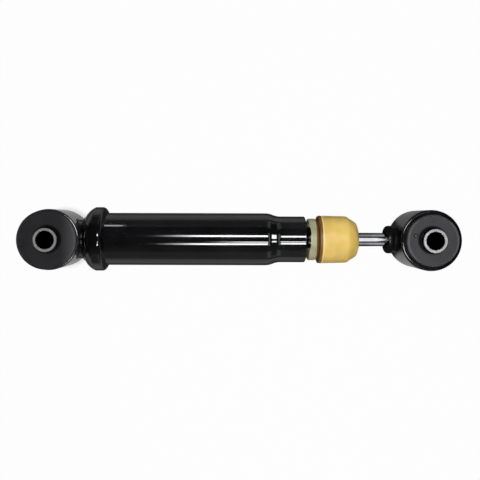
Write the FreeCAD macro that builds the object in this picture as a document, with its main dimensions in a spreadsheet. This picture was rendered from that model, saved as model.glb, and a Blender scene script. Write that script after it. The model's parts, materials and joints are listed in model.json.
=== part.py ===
import FreeCAD, Part
import math
import os
from types import SimpleNamespace

import Sketcher

# Twin-tube hydraulic damper for a lorry cab, with a rubber-bushed eye at each end.
# The long axis is X, from the base eye to the rod eye, and the eye bolts run along Z.
# The origin is the centre of the base eye. All sizes are in millimetres.

SIZES = {
    # Eyes and their bushes
    "eye_radius": 24.0,
    "eye_wall": 4.1,
    "eye_width": 44.0,
    "eye_bevel": 0.8,
    "eye_round": 1.6,
    "lower_overhang": 6.5,
    "upper_overhang": 4.5,
    "rubber_edge": 1.4,
    "rubber_rim_gap": 0.5,
    "lower_face_radius": 23.2,
    "upper_face_radius": 20.4,
    "bolt_bore_radius": 7.0,
    "sleeve_wall": 2.35,
    "sleeve_length": 63.0,
    "sleeve_bevel": 0.4,
    "saddle_blank": 12.0,
    # Clearances
    "seat_gap": 0.02,
    "running_gap": 0.05,
    "free_gap": 0.3,
    "stop_bore_gap": 0.5,
    # Base of the tube
    "stub_radius": 16.1,
    "stub_flare": 1.2,
    "eye_to_cap": 0.7,
    "cap_radius": 25.9,
    "cap_flat_radius": 16.8,
    "cap_dome_length": 8.8,
    "cap_dome_round": 16.0,
    "cap_rim_length": 5.0,
    "lip_round": 3.2,
    "cap_wall": 3.5,
    "cap_floor_step": 2.5,
    # Outer tube
    "tube_radius": 21.2,
    "tube_wall": 1.8,
    "tube_length": 146.0,
    "swage_length": 12.3,
    "head_radius": 18.65,
    "head_length": 19.0,
    "crimp_length": 3.0,
    "crimp_edge": 0.9,
    "crimp_round": 1.1,
    "crimp_face": 2.0,
    "crimp_inset": 1.1,
    "crimp_radius": 12.2,
    # Seal pack and rod guide in the head
    "cover_rim": 2.2,
    "wiper_wall": 2.4,
    "wiper_length": 4.0,
    "lip_relief": 0.9,
    "lip_width": 0.8,
    "guide_length": 18.5,
    "guide_spigot": 4.0,
    "bush_wall": 1.4,
    "seal_wall": 6.5,
    "seal_depth": 7.0,
    "seal_finger": 1.5,
    "garter_wire": 0.7,
    "seal_well": 2.1,
    "ring_wire": 1.2,
    "drain_radius": 1.0,
    # Seat and bump stop on the head
    "seat_radius": 16.95,
    "seat_length": 7.8,
    "seat_edge": 0.8,
    "seat_step": 0.25,
    "seat_boss": 1.0,
    "seat_bevel_length": 2.2,
    "seat_bevel_drop": 1.2,
    "peg_radius": 9.0,
    "peg_length": 4.0,
    "stop_radius": 19.4,
    "stop_length": 34.65,
    "stop_foot_face": 15.6,
    "stop_foot_slope": 1.1,
    "stop_foot_shoulder": 18.7,
    "stop_foot_round": 1.2,
    "stop_foot_end": 2.0,
    "stop_draft": 0.5,
    "stop_shoulder": 23.4,
    "shoulder_round": 4.0,
    "cone_start": 25.1,
    "cone_start_radius": 18.1,
    "cone_end": 31.3,
    "cone_end_radius": 13.8,
    "nose_round": 10.5,
    "nose_face": 0.8,
    "free_travel": 20.56,
    # Rod and collar
    "rod_radius": 5.5,
    "collar_length": 7.95,
    "collar_bead": 3.0,
    "collar_radius": 11.3,
    "collar_land": 2.2,
    "collar_step": 0.8,
    "collar_recess": 3.6,
    "collar_notch": 2.8,
    "notch_radius": 7.0,
    "collar_neck_radius": 9.8,
    "collar_flare": 3.0,
    "flare_setback": 1.6,
    "collar_web": 1.5,
    "thread_radius": 4.0,
    "thread_tail": 1.5,
    "thread_bevel": 0.5,
    # Pressure tube and piston
    "bore_radius": 13.5,
    "bore_wall": 1.5,
    "rebound_travel": 40.0,
    "stop_spacing": 16.0,
    "stop_ring_length": 4.0,
    "stop_ring_radius": 9.5,
    "stop_groove": 0.8,
    "buffer_length": 4.0,
    "piston_length": 12.0,
    "band_length": 6.0,
    "band_offset": 3.0,
    "band_depth": 1.0,
    "band_split": 0.8,
    "land_depth": 0.8,
    "inner_port_circle": 6.6,
    "inner_port_radius": 1.0,
    "outer_port_circle": 9.7,
    "outer_port_radius": 1.4,
    "plate_radius": 11.9,
    "plate_thickness": 0.8,
    "plate_hub_wall": 1.2,
    "plate_lift": 1.0,
    "spring_room": 0.8,
    "spring_thickness": 0.25,
    "spring_notch": 2.0,
    "disc_thickness": 0.4,
    "disc_step": 0.8,
    "washer_thickness": 1.5,
    "washer_radius": 6.4,
    "nut_height": 6.5,
    "nut_flats": 13.0,
    # Foot valve
    "foot_skirt": 6.0,
    "foot_skirt_wall": 2.6,
    "foot_plate": 7.0,
    "foot_spigot": 4.0,
    "foot_slot_radius": 1.6,
    "foot_pin_radius": 3.0,
    "foot_pin_shoulder": 1.0,
    "foot_pin_head": 3.0,
    "foot_head_height": 1.6,
    "foot_tail": 0.6,
    "foot_nut_height": 3.4,
    "foot_nut_flats": 10.0,
}

# Counts and angles of what repeats
PISTON_PORTS = 6
FOOT_PORTS = 8
SPRING_FINGERS = 6
DISC_COUNT = 3
DRAIN_COUNT = 4
HEX_SIDES = 6
SLOT_COUNT = 2
SLOT_TURN = 90
LIP_SLOPE = math.radians(60)

document = FreeCAD.newDocument("cab_shock_absorber")
sub_parts = []


class Size:
    """A length in millimetres together with the sheet expression that gives it."""

    def __init__(self, value, text):
        self.value = float(value)
        self.text = text

    @staticmethod
    def of(number):
        return number if isinstance(number, Size) else Size(number, repr(float(number)))

    def __add__(self, other):
        other = Size.of(other)
        return Size(self.value + other.value, f"({self.text} + {other.text})")

    def __sub__(self, other):
        other = Size.of(other)
        return Size(self.value - other.value, f"({self.text} - {other.text})")

    def __mul__(self, other):
        other = Size.of(other)
        return Size(self.value * other.value, f"{self.text} * {other.text}")

    def __truediv__(self, other):
        other = Size.of(other)
        return Size(self.value / other.value, f"{self.text} / ({other.text})")


class Bend:
    """A round stretch of an outline that ends at a corner, turning left or right on its way there."""

    def __init__(self, across, up, radius, left):
        self.corner = (across, up)
        self.radius = Size.of(radius)
        self.left = left


def fill_sheet():
    """Writes the driving sizes into the sheet and returns them as named sizes."""
    sheet = document.addObject("Spreadsheet::Sheet", "Sizes")
    for row, (name, value) in enumerate(SIZES.items(), start=1):
        sheet.set(f"A{row}", name.replace("_", " "))
        sheet.set(f"B{row}", str(value))
        sheet.setAlias(f"B{row}", name)
    document.recompute()
    return SimpleNamespace(**{name: Size(value, f"Sizes.{name}") for name, value in SIZES.items()})


def edge_between(start, end, step):
    """Returns a sketch edge and the numbers of its two ends, in the order of the outline."""
    if not isinstance(step, Bend):
        return Part.LineSegment(start, end), 1, 2
    chord = end - start
    height = math.sqrt(step.radius.value ** 2 - chord.Length ** 2 / 4)
    side = FreeCAD.Vector(-chord.y, chord.x, 0).normalize()
    centre = (start + end) * 0.5 + side * (height if step.left else -height)
    first, last = (start, end) if step.left else (end, start)
    first_angle = math.atan2(first.y - centre.y, first.x - centre.x)
    last_angle = math.atan2(last.y - centre.y, last.x - centre.x)
    if last_angle < first_angle:
        last_angle += 2 * math.pi
    circle = Part.Circle(centre, FreeCAD.Vector(0, 0, 1), step.radius.value)
    arc = Part.ArcOfCircle(circle, first_angle, last_angle)
    return (arc, 1, 2) if step.left else (arc, 2, 1)


def new_sketch(body, name, plane):
    """Starts a sketch on one of the body's own origin planes."""
    sketch = body.newObject("Sketcher::SketchObject", name)
    support = next(feature for feature in body.Origin.OriginFeatures if feature.Role == plane)
    sketch.AttachmentSupport = (support, [""])
    sketch.MapMode = "FlatFace"
    return sketch


def constrain(sketch, dimensions):
    """Adds dimensions to a sketch and ties each one to its sheet expression."""
    indices = sketch.addConstraint([constraint for constraint, _ in dimensions])
    for index, (_, length) in zip(indices, dimensions):
        if length is not None:
            sketch.setExpression(f"Constraints[{index}]", length.text)


def draw_outline(sketch, outline):
    """Draws a closed outline of corners and bends, with every corner placed from the sketch's origin."""
    corners = [step.corner if isinstance(step, Bend) else step for step in outline]
    corners = [(Size.of(across), Size.of(up)) for across, up in corners]
    points = [FreeCAD.Vector(across.value, up.value, 0) for across, up in corners]
    following = [(index + 1) % len(points) for index in range(len(points))]
    edges = [edge_between(points[i], points[j], outline[j]) for i, j in enumerate(following)]
    sketch.addGeometry([edge for edge, _, _ in edges], False)
    dimensions = []
    for i, j in enumerate(following):
        dimensions.append((Sketcher.Constraint("Coincident", i, edges[i][2], j, edges[j][1]), None))
    for i, (across, up) in enumerate(corners):
        start = edges[i][1]
        dimensions.append((Sketcher.Constraint("DistanceX", -1, 1, i, start, across.value), across))
        dimensions.append((Sketcher.Constraint("DistanceY", -1, 1, i, start, up.value), up))
    for i, j in enumerate(following):
        if isinstance(outline[j], Bend):
            radius = outline[j].radius
            dimensions.append((Sketcher.Constraint("Radius", i, radius.value), radius))
    constrain(sketch, dimensions)


def place(sub_part, along=0, up=0, turn=None):
    """Gives a sub-part its place along the damper's axis and registers it."""
    along, up = Size.of(along), Size.of(up)
    turn = turn or FreeCAD.Rotation()
    sub_part.Placement = FreeCAD.Placement(FreeCAD.Vector(along.value, 0, up.value), turn)
    sub_part.setExpression("Placement.Base.x", along.text)
    sub_part.setExpression("Placement.Base.z", up.text)
    sub_parts.append(sub_part)
    return sub_part


def turned(label, outline, along=0, up=0, upright=False):
    """Makes a body by turning an outline about the long axis, or about an eye's axis when upright."""
    body = document.addObject("PartDesign::Body", label)
    sketch = new_sketch(body, f"{label}_outline", "XZ_Plane" if upright else "XY_Plane")
    draw_outline(sketch, outline)
    turning = body.newObject("PartDesign::Revolution", f"{label}_turning")
    turning.Profile = sketch
    turning.ReferenceAxis = (sketch, ["V_Axis" if upright else "H_Axis"])
    turning.Angle = 360
    return place(body, along, up)


def cut_through(body, sketch, name):
    """Cuts a sketch through the body on both sides of its plane."""
    cut = body.newObject("PartDesign::Pocket", name)
    cut.Profile = sketch
    cut.Type = "ThroughAll"
    cut.SideType = "Symmetric"
    body.Tip = cut
    return cut


def repeat_around(body, cut, count, angle=360):
    """Repeats a cut evenly about the long axis."""
    axis = next(feature for feature in body.Origin.OriginFeatures if feature.Role == "X_Axis")
    pattern = body.newObject("PartDesign::PolarPattern", f"{cut.Name}_ring")
    pattern.Originals = [cut]
    pattern.Axis = (axis, [""])
    pattern.Angle = angle
    pattern.Occurrences = count
    body.Tip = pattern


def draw_circle(sketch, across, up, radius):
    """Draws one circle, dimensioned from the sketch's origin."""
    across, up, radius = Size.of(across), Size.of(up), Size.of(radius)
    centre = FreeCAD.Vector(across.value, up.value, 0)
    sketch.addGeometry(Part.Circle(centre, FreeCAD.Vector(0, 0, 1), radius.value), False)
    constrain(sketch, [
        (Sketcher.Constraint("DistanceX", -1, 1, 0, 3, across.value), across),
        (Sketcher.Constraint("DistanceY", -1, 1, 0, 3, up.value), up),
        (Sketcher.Constraint("Radius", 0, radius.value), radius),
    ])


def drill_ring(body, name, circle, radius, count, phase=0.0):
    """Drills a ring of holes along the long axis."""
    sketch = new_sketch(body, f"{name}_sketch", "YZ_Plane")
    draw_circle(sketch, circle * math.sin(phase), circle * math.cos(phase), radius)
    repeat_around(body, cut_through(body, sketch, name), count)


def cut_hollow(body, name, along, radius):
    """Cuts a round hollow across the body, along the eye bolts."""
    sketch = new_sketch(body, f"{name}_sketch", "XY_Plane")
    draw_circle(sketch, along, 0, radius)
    cut_through(body, sketch, name)


def eye_ring(label, along):
    """A plain steel eye, bevelled inside and with rounded rims."""
    inner = S.eye_radius - S.eye_wall
    turned(label, [
        (inner, S.eye_bevel),
        (inner + S.eye_bevel, 0),
        (S.eye_radius - S.eye_round, 0),
        Bend(S.eye_radius, S.eye_round, S.eye_round, left=True),
        (S.eye_radius, S.eye_width - S.eye_round),
        Bend(S.eye_radius - S.eye_round, S.eye_width, S.eye_round, left=True),
        (inner + S.eye_bevel, S.eye_width),
        (inner, S.eye_width - S.eye_bevel),
    ], along, S.eye_width * -0.5, upright=True)


def bush_rubber(label, along, face_radius, overhang):
    """The rubber of a bush: a core that fills the eye and a round-edged face that overhangs on each side."""
    bore = S.bolt_bore_radius + S.sleeve_wall + S.running_gap
    core = S.eye_radius - S.eye_wall - S.seat_gap
    height = S.eye_width + overhang * 2
    low_rim = overhang - S.rubber_rim_gap
    high_rim = height - low_rim
    turned(label, [
        (bore, 0),
        (face_radius - S.rubber_edge, 0),
        Bend(face_radius, S.rubber_edge, S.rubber_edge, left=True),
        (face_radius, low_rim),
        (core, low_rim),
        (core, high_rim),
        (face_radius, high_rim),
        (face_radius, height - S.rubber_edge),
        Bend(face_radius - S.rubber_edge, height, S.rubber_edge, left=True),
        (bore, height),
    ], along, height * -0.5, upright=True)


def bush_sleeve(label, along):
    """The steel sleeve that the eye bolt clamps."""
    outer = S.bolt_bore_radius + S.sleeve_wall
    turned(label, [
        (S.bolt_bore_radius, S.sleeve_bevel),
        (S.bolt_bore_radius + S.sleeve_bevel, 0),
        (outer - S.sleeve_bevel, 0),
        (outer, S.sleeve_bevel),
        (outer, S.sleeve_length - S.sleeve_bevel),
        (outer - S.sleeve_bevel, S.sleeve_length),
        (S.bolt_bore_radius + S.sleeve_bevel, S.sleeve_length),
        (S.bolt_bore_radius, S.sleeve_length - S.sleeve_bevel),
    ], along, S.sleeve_length * -0.5, upright=True)


def lower_eye_stub():
    """The short neck welded between the base eye and the base cap."""
    start = S.saddle_blank
    end = cap_back - S.seat_gap
    body = turned("lower_eye_stub", [
        (start, 0),
        (end, 0),
        (end, S.stub_radius + S.stub_flare),
        Bend(end - S.stub_flare, S.stub_radius, S.stub_flare, left=False),
        (start, S.stub_radius),
    ])
    cut_hollow(body, "lower_saddle", 0, S.eye_radius + S.seat_gap)


def base_cap():
    """The pressed cap with a domed back, a plain rim and a rounded, sloping lip on the tube."""
    socket = S.tube_radius + S.seat_gap
    rim_end = S.cap_dome_length + S.cap_rim_length
    round_length = S.lip_round * math.sin(LIP_SLOPE)
    round_radius = S.cap_radius - S.lip_round * (1 - math.cos(LIP_SLOPE))
    slope_length = (round_radius - socket) / math.tan(LIP_SLOPE)
    floor = S.tube_radius - S.tube_wall
    turned("base_cap", [
        (0, 0),
        (S.cap_wall, 0),
        (S.cap_wall, floor - S.cap_floor_step),
        Bend(S.cap_wall + S.cap_floor_step, floor, S.cap_floor_step, left=False),
        (S.cap_wall + S.cap_floor_step, socket),
        (rim_end + round_length + slope_length, socket),
        (rim_end + round_length, round_radius),
        Bend(rim_end, S.cap_radius, S.lip_round, left=True),
        (S.cap_dome_length, S.cap_radius),
        Bend(0, S.cap_flat_radius, S.cap_dome_round, left=True),
    ], cap_back)


def swage_round(drop):
    """Radius of the two equal arcs that make the tube's smooth step down by a drop."""
    return (S.swage_length * S.swage_length + drop * drop) / (drop * 4)


def reserve_tube():
    """The outer tube: plain length, swaged head and an end rolled over the seal cover."""
    inner, head_inner = S.tube_radius - S.tube_wall, S.head_radius - S.tube_wall
    start = S.cap_wall + S.cap_floor_step + S.seat_gap
    swage_start = S.tube_length - start
    swage_middle = swage_start + S.swage_length * 0.5
    swage_end = swage_start + S.swage_length
    head_end = swage_end + S.head_length
    arc = swage_round(S.tube_radius - S.head_radius)
    turned("reserve_tube", [
        (0, inner),
        (swage_start, inner),
        Bend(swage_middle, (inner + head_inner) * 0.5, arc, left=False),
        Bend(swage_end, head_inner, arc, left=True),
        (head_end - S.crimp_inset, head_inner),
        (head_end + S.crimp_length - S.crimp_face, S.crimp_radius),
        (head_end + S.crimp_length, S.crimp_radius),
        (head_end + S.crimp_edge, S.head_radius - S.crimp_edge),
        Bend(head_end, S.head_radius, S.crimp_round, left=True),
        (swage_end, S.head_radius),
        Bend(swage_middle, (S.tube_radius + S.head_radius) * 0.5, arc, left=False),
        Bend(swage_start, S.tube_radius, arc, left=True),
        (0, S.tube_radius),
    ], cap_back + start)


def seal_cover():
    """The coned steel cover that the rolled end of the tube holds down."""
    outer = S.head_radius - S.tube_wall - S.seat_gap
    bore = S.rod_radius + S.wiper_wall + S.seat_gap
    cone_start = S.cover_rim - S.running_gap
    top = cone_start + S.crimp_inset + S.crimp_length - S.crimp_face
    turned("seal_cover", [
        (0, bore),
        (top, bore),
        (top, S.crimp_radius),
        (cone_start, outer),
        (0, outer),
    ], cover_back)


def dust_wiper():
    """The scraper lip that keeps dirt off the rod."""
    lip = S.rod_radius + S.running_gap
    relief = S.rod_radius + S.lip_relief
    turned("dust_wiper", [
        (0, relief),
        (S.wiper_length - S.lip_width * 2, lip),
        (S.wiper_length - S.lip_width, lip),
        (S.wiper_length, relief),
        (S.wiper_length, S.rod_radius + S.wiper_wall),
        (0, S.rod_radius + S.wiper_wall),
    ], cover_back)


def rod_guide():
    """The sintered guide: spigot in the pressure tube, flange in the head, seal well and ring groove."""
    bore = S.rod_radius + S.running_gap + S.bush_wall + S.seat_gap
    outer = S.head_radius - S.tube_wall - S.seat_gap
    well = S.rod_radius + S.seal_wall + S.seat_gap
    groove = outer - S.ring_wire * 2
    groove_start = S.guide_length - S.ring_wire * 2
    body = turned("rod_guide", [
        (0, bore),
        (S.guide_length - S.seal_depth, bore),
        (S.guide_length - S.seal_depth, well),
        (S.guide_length, well),
        (S.guide_length, groove),
        (groove_start, groove),
        (groove_start, outer),
        (S.guide_spigot, outer),
        (S.guide_spigot, S.bore_radius - S.seat_gap),
        (0, S.bore_radius - S.seat_gap),
    ], guide_back)
    sketch = new_sketch(body, "drain_sketch", "YZ_Plane")
    draw_circle(sketch, 0, outer, S.drain_radius)
    drain = body.newObject("PartDesign::Pocket", "drain")
    drain.Profile = sketch
    drain.Reversed = True
    drain_length = groove_start - S.drain_radius
    drain.Length = drain_length.value
    drain.setExpression("Length", drain_length.text)
    repeat_around(body, drain, DRAIN_COUNT)


def guide_bush():
    """The lined bush that the rod slides in."""
    inner = S.rod_radius + S.running_gap
    length = S.guide_length - S.seal_depth
    turned("guide_bush", [
        (0, inner),
        (length, inner),
        (length, inner + S.bush_wall),
        (0, inner + S.bush_wall),
    ], guide_back)


def rod_seal():
    """The oil seal: a sprung inner finger towards the oil and a second lip above it."""
    lip = S.rod_radius + S.running_gap
    relief = S.rod_radius + S.lip_relief
    finger = S.rod_radius + S.seal_finger
    length = S.seal_depth - S.seat_gap * 2
    well = finger + S.seal_well
    turned("rod_seal", [
        (0, relief),
        (S.lip_width, lip),
        (S.lip_width * 2, lip),
        (length * 0.5, relief),
        (length - S.lip_width * 2, lip),
        (length - S.lip_width, lip),
        (length, relief),
        (length, S.rod_radius + S.seal_wall),
        (0, S.rod_radius + S.seal_wall),
        (0, well),
        (S.seal_well, well),
        (S.seal_well, finger),
        (0, finger),
    ], guide_back + S.guide_length - S.seal_depth + S.seat_gap)


def wire_ring(label, along, circle, wire):
    """A ring of round wire or cord about the long axis."""
    ring = document.addObject("Part::Torus", label)
    ring.setExpression("Radius1", circle.text)
    ring.setExpression("Radius2", wire.text)
    place(ring, along, turn=FreeCAD.Rotation(FreeCAD.Vector(0, 1, 0), 90))


def seal_spring():
    """The garter spring round the seal's finger."""
    circle = S.rod_radius + S.seal_finger + S.garter_wire + S.seat_gap
    well_back = guide_back + S.guide_length - S.seal_depth + S.seat_gap
    wire_ring("seal_spring", well_back + S.seal_well * 0.5, circle, S.garter_wire)


def guide_o_ring():
    """The ring that seals the guide against the head."""
    circle = S.head_radius - S.tube_wall - S.seat_gap - S.ring_wire
    wire_ring("guide_o_ring", guide_back + S.guide_length - S.ring_wire, circle, S.ring_wire - S.seat_gap)


def stop_seat():
    """The seat of the bump stop: spigot and boss on the rolled end, bevelled ring and peg for the stop."""
    bore = S.rod_radius + S.stop_bore_gap
    spigot = S.crimp_face - S.free_gap
    top = spigot + S.seat_length
    face = spigot + S.seat_step
    turned("stop_seat", [
        (0, bore),
        (top + S.peg_length, bore),
        (top + S.peg_length, S.peg_radius),
        (top, S.peg_radius),
        (top, S.seat_radius - S.seat_bevel_drop),
        (top - S.seat_bevel_length, S.seat_radius),
        (face + S.seat_edge, S.seat_radius),
        Bend(face, S.seat_radius - S.seat_edge, S.seat_edge, left=True),
        (face, S.crimp_radius + S.seat_boss),
        (spigot, S.crimp_radius + S.seat_boss),
        (spigot, S.crimp_radius - S.running_gap),
        (0, S.crimp_radius - S.running_gap),
    ], seat_back - spigot)


def bump_stop():
    """The polyurethane stop with a sloped foot, a slight draft and a coned nose with a round end."""
    bore = S.rod_radius + S.stop_bore_gap
    socket = S.peg_radius + S.seat_gap
    depth = S.peg_length + S.seat_gap
    turned("bump_stop", [
        (0, socket),
        (depth, socket),
        (depth, bore),
        (S.stop_length, bore),
        (S.stop_length, bore + S.nose_face),
        Bend(S.cone_end, S.cone_end_radius, S.nose_round, left=True),
        (S.cone_start, S.cone_start_radius),
        Bend(S.stop_shoulder, S.stop_radius - S.stop_draft, S.shoulder_round, left=True),
        (S.stop_foot_end, S.stop_radius),
        Bend(S.stop_foot_slope, S.stop_foot_shoulder, S.stop_foot_round, left=True),
        (0, S.stop_foot_face),
    ], stop_back)


def rod_collar():
    """The upset collar: beaded, notched mouth round the rod, neck and a flare welded to the rod eye."""
    bore = S.rod_radius + S.seat_gap
    bead = S.collar_bead
    neck_start = bead + S.collar_land + S.collar_step
    flare_radius = S.collar_neck_radius + S.collar_flare
    flare_start = S.collar_length - S.flare_setback
    flare_end = flare_start + S.collar_flare
    end = S.collar_length + S.eye_radius - S.saddle_blank
    bore_end = S.collar_length - S.collar_web
    mouth = S.collar_radius - bead
    body = turned("rod_collar", [
        Bend(S.collar_recess, bore, S.collar_recess, left=True),
        (bore_end, bore),
        (bore_end, 0),
        (end, 0),
        (end, flare_radius),
        (flare_end, flare_radius),
        Bend(flare_start, S.collar_neck_radius, S.collar_flare, left=False),
        (neck_start, S.collar_neck_radius),
        (bead + S.collar_land, S.collar_radius),
        (bead, S.collar_radius),
        Bend(0, mouth, bead, left=True),
    ], collar_back)
    cut_hollow(body, "upper_saddle", S.collar_length + S.eye_radius, S.eye_radius + S.seat_gap)
    cut_hollow(body, "mouth_notch", S.collar_notch - S.notch_radius, S.notch_radius)


def piston_rod():
    """The chromed rod, turned down for the piston and grooved for the rebound stop."""
    shoulder = rod_shoulder - rod_back
    groove = stop_ring_back - rod_back
    groove_end = groove + S.stop_ring_length
    groove_radius = S.rod_radius - S.stop_groove
    end = collar_back + S.collar_length - S.collar_web - S.seat_gap - rod_back
    turned("piston_rod", [
        (0, 0),
        (end, 0),
        (end, S.rod_radius),
        (groove_end, S.rod_radius),
        (groove_end, groove_radius),
        (groove, groove_radius),
        (groove, S.rod_radius),
        (shoulder, S.rod_radius),
        (shoulder, S.thread_radius),
        (S.thread_bevel, S.thread_radius),
        (0, S.thread_radius - S.thread_bevel),
    ], rod_back)


def plain_ring(label, along, inner, outer, length):
    """A plain turned ring, disc or washer."""
    return turned(label, [(0, inner), (length, inner), (length, outer), (0, outer)], along)


def rebound_stop():
    """The rebound stop: a steel ring in the rod's groove and the rubber buffer above it."""
    plain_ring("rebound_stop_ring", stop_ring_back + S.seat_gap, S.rod_radius - S.stop_groove + S.seat_gap,
               S.stop_ring_radius, S.stop_ring_length - S.seat_gap * 2)
    plain_ring("rebound_buffer", buffer_back, S.rod_radius + S.seat_gap, S.stop_ring_radius, S.buffer_length)


def pressure_tube():
    """The inner tube between the foot valve and the rod guide."""
    back = foot_back + S.foot_skirt + S.foot_plate - S.foot_spigot + S.seat_gap
    length = guide_back + S.guide_spigot - S.seat_gap - back
    plain_ring("pressure_tube", back, S.bore_radius, S.bore_radius + S.bore_wall, length)


def piston_body():
    """The ported piston with its band groove and valve lands on both faces."""
    bore = S.thread_radius + S.seat_gap
    outer = S.bore_radius - S.free_gap
    groove = outer - S.band_depth
    inner_low = S.inner_port_circle - S.inner_port_radius - S.free_gap
    inner_high = S.inner_port_circle + S.inner_port_radius + S.free_gap
    outer_low = S.outer_port_circle - S.outer_port_radius - S.free_gap
    outer_high = S.outer_port_circle + S.outer_port_radius + S.free_gap
    top = S.piston_length
    body = turned("piston_body", [
        (0, bore),
        (top, bore),
        (top, outer_low),
        (top - S.land_depth, outer_low),
        (top - S.land_depth, outer_high),
        (top, outer_high),
        (top, outer),
        (S.band_offset + S.band_length, outer),
        (S.band_offset + S.band_length, groove),
        (S.band_offset, groove),
        (S.band_offset, outer),
        (S.land_depth, outer),
        (S.land_depth, inner_high + S.disc_step),
        (0, inner_high + S.disc_step),
        (0, inner_high),
        (S.land_depth, inner_high),
        (S.land_depth, inner_low),
        (0, inner_low),
    ], piston_back)
    drill_ring(body, "intake_port", S.outer_port_circle, S.outer_port_radius, PISTON_PORTS)
    drill_ring(body, "rebound_port", S.inner_port_circle, S.inner_port_radius, PISTON_PORTS,
               math.pi / PISTON_PORTS)


def piston_band():
    """The split low-friction band that slides in the pressure tube."""
    length = S.band_length - S.running_gap * 2
    inner = S.bore_radius - S.free_gap - S.band_depth + S.running_gap
    body = plain_ring("piston_band", piston_back + S.band_offset + S.running_gap, inner,
                      S.bore_radius - S.running_gap, length)
    sketch = new_sketch(body, "band_split_sketch", "XY_Plane")
    draw_outline(sketch, [(0, 0), (length, 0), (length, S.band_split), (0, S.band_split)])
    split = body.newObject("PartDesign::Pocket", "band_split_cut")
    split.Profile = sketch
    split.Type = "ThroughAll"
    split.Reversed = True
    body.Tip = split


def check_plate(label, along, hub, ports, port_circle):
    """A valve plate that covers the outer ports and lets oil through holes to the inner ones."""
    body = plain_ring(label, along, hub + S.running_gap, S.plate_radius, S.plate_thickness)
    drill_ring(body, f"{label}_hole", port_circle, S.inner_port_radius, ports, math.pi / ports)


def check_spring(label, along, hub, height):
    """A coned star spring that holds a valve plate on its ports."""
    outer = S.plate_radius - S.spring_notch * 0.5
    inner = hub + S.free_gap
    body = turned(label, [
        (0, outer),
        (height - S.spring_thickness, inner),
        (height, inner),
        (S.spring_thickness, outer),
    ], along)
    sketch = new_sketch(body, f"{label}_notch_sketch", "YZ_Plane")
    draw_circle(sketch, 0, outer, S.spring_notch)
    repeat_around(body, cut_through(body, sketch, f"{label}_notch"), SPRING_FINGERS)


def piston_stop_plate():
    """The flanged washer that clamps the piston and limits the valve plate's lift."""
    bore = S.thread_radius + S.seat_gap
    hub = S.thread_radius + S.plate_hub_wall
    flange = S.outer_port_circle
    turned("piston_stop_plate", [
        (0, bore),
        (plate_hub_length + S.washer_thickness, bore),
        (plate_hub_length + S.washer_thickness, flange),
        (plate_hub_length, flange),
        (plate_hub_length, hub),
        (0, hub),
    ], piston_back + S.piston_length + S.seat_gap)


def piston_check_valve():
    """The plate and spring on the piston's upper face."""
    hub = S.thread_radius + S.plate_hub_wall
    seat = piston_back + S.piston_length
    plate_along = seat + S.running_gap
    spring_along = plate_along + S.plate_thickness + S.running_gap
    height = plate_hub_length - S.plate_thickness - S.running_gap * 3
    check_plate("piston_check_plate", plate_along, hub, PISTON_PORTS, S.inner_port_circle)
    check_spring("piston_check_spring", spring_along, hub, height)


def disc_stack(name, seat, inner, outer):
    """Thin valve discs below a seat, each one smaller than the disc above it."""
    for number in range(1, DISC_COUNT + 1):
        along = seat - (S.disc_thickness + S.seat_gap) * number
        plain_ring(f"{name}_{number}", along, inner, outer - S.disc_step * (number - 1), S.disc_thickness)


def rebound_valve():
    """The disc stack and backing washer under the piston."""
    bore = S.thread_radius + S.seat_gap
    widest = S.inner_port_circle + S.inner_port_radius + S.free_gap + S.disc_step
    disc_stack("rebound_disc", piston_back, bore, widest)
    plain_ring("rebound_washer", washer_back, bore, S.washer_radius, S.washer_thickness)


def hex_nut(label, along, flats, height, bore):
    """A plain hexagon nut about the long axis."""
    prism = document.addObject("Part::Prism", f"{label}_hexagon")
    prism.Polygon = HEX_SIDES
    prism.setExpression("Circumradius", (flats * (0.5 / math.cos(math.pi / HEX_SIDES))).text)
    prism.setExpression("Height", height.text)
    hole = document.addObject("Part::Cylinder", f"{label}_hole")
    hole.setExpression("Radius", bore.text)
    hole.setExpression("Height", height.text)
    nut = document.addObject("Part::Cut", label)
    nut.Base = prism
    nut.Tool = hole
    place(nut, along, turn=FreeCAD.Rotation(FreeCAD.Vector(0, 1, 0), 90))


def piston_nut():
    """The nut that holds the piston on the rod."""
    hex_nut("piston_nut", nut_back, S.nut_flats, S.nut_height, S.thread_radius + S.seat_gap)


def foot_valve_body():
    """The ported foot valve: slotted skirt on the base cap, flange and spigot for the pressure tube."""
    outer = S.bore_radius + S.bore_wall
    spigot = S.bore_radius - S.seat_gap
    bore = S.foot_pin_radius + S.seat_gap
    top = S.foot_skirt + S.foot_plate
    body = turned("foot_valve_body", [
        (0, outer - S.foot_skirt_wall),
        (S.foot_skirt, outer - S.foot_skirt_wall),
        (S.foot_skirt, bore),
        (top, bore),
        (top, spigot),
        (top - S.foot_spigot, spigot),
        (top - S.foot_spigot, outer),
        (0, outer),
    ], foot_back)
    drill_ring(body, "foot_intake_port", S.outer_port_circle, S.outer_port_radius, FOOT_PORTS)
    drill_ring(body, "foot_bleed_port", foot_bleed_circle, S.inner_port_radius, DRAIN_COUNT,
               math.pi / FOOT_PORTS)
    sketch = new_sketch(body, "foot_slot_sketch", "XY_Plane")
    draw_circle(sketch, S.foot_skirt * 0.5, 0, S.foot_slot_radius)
    repeat_around(body, cut_through(body, sketch, "foot_slot"), SLOT_COUNT, SLOT_TURN)


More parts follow.
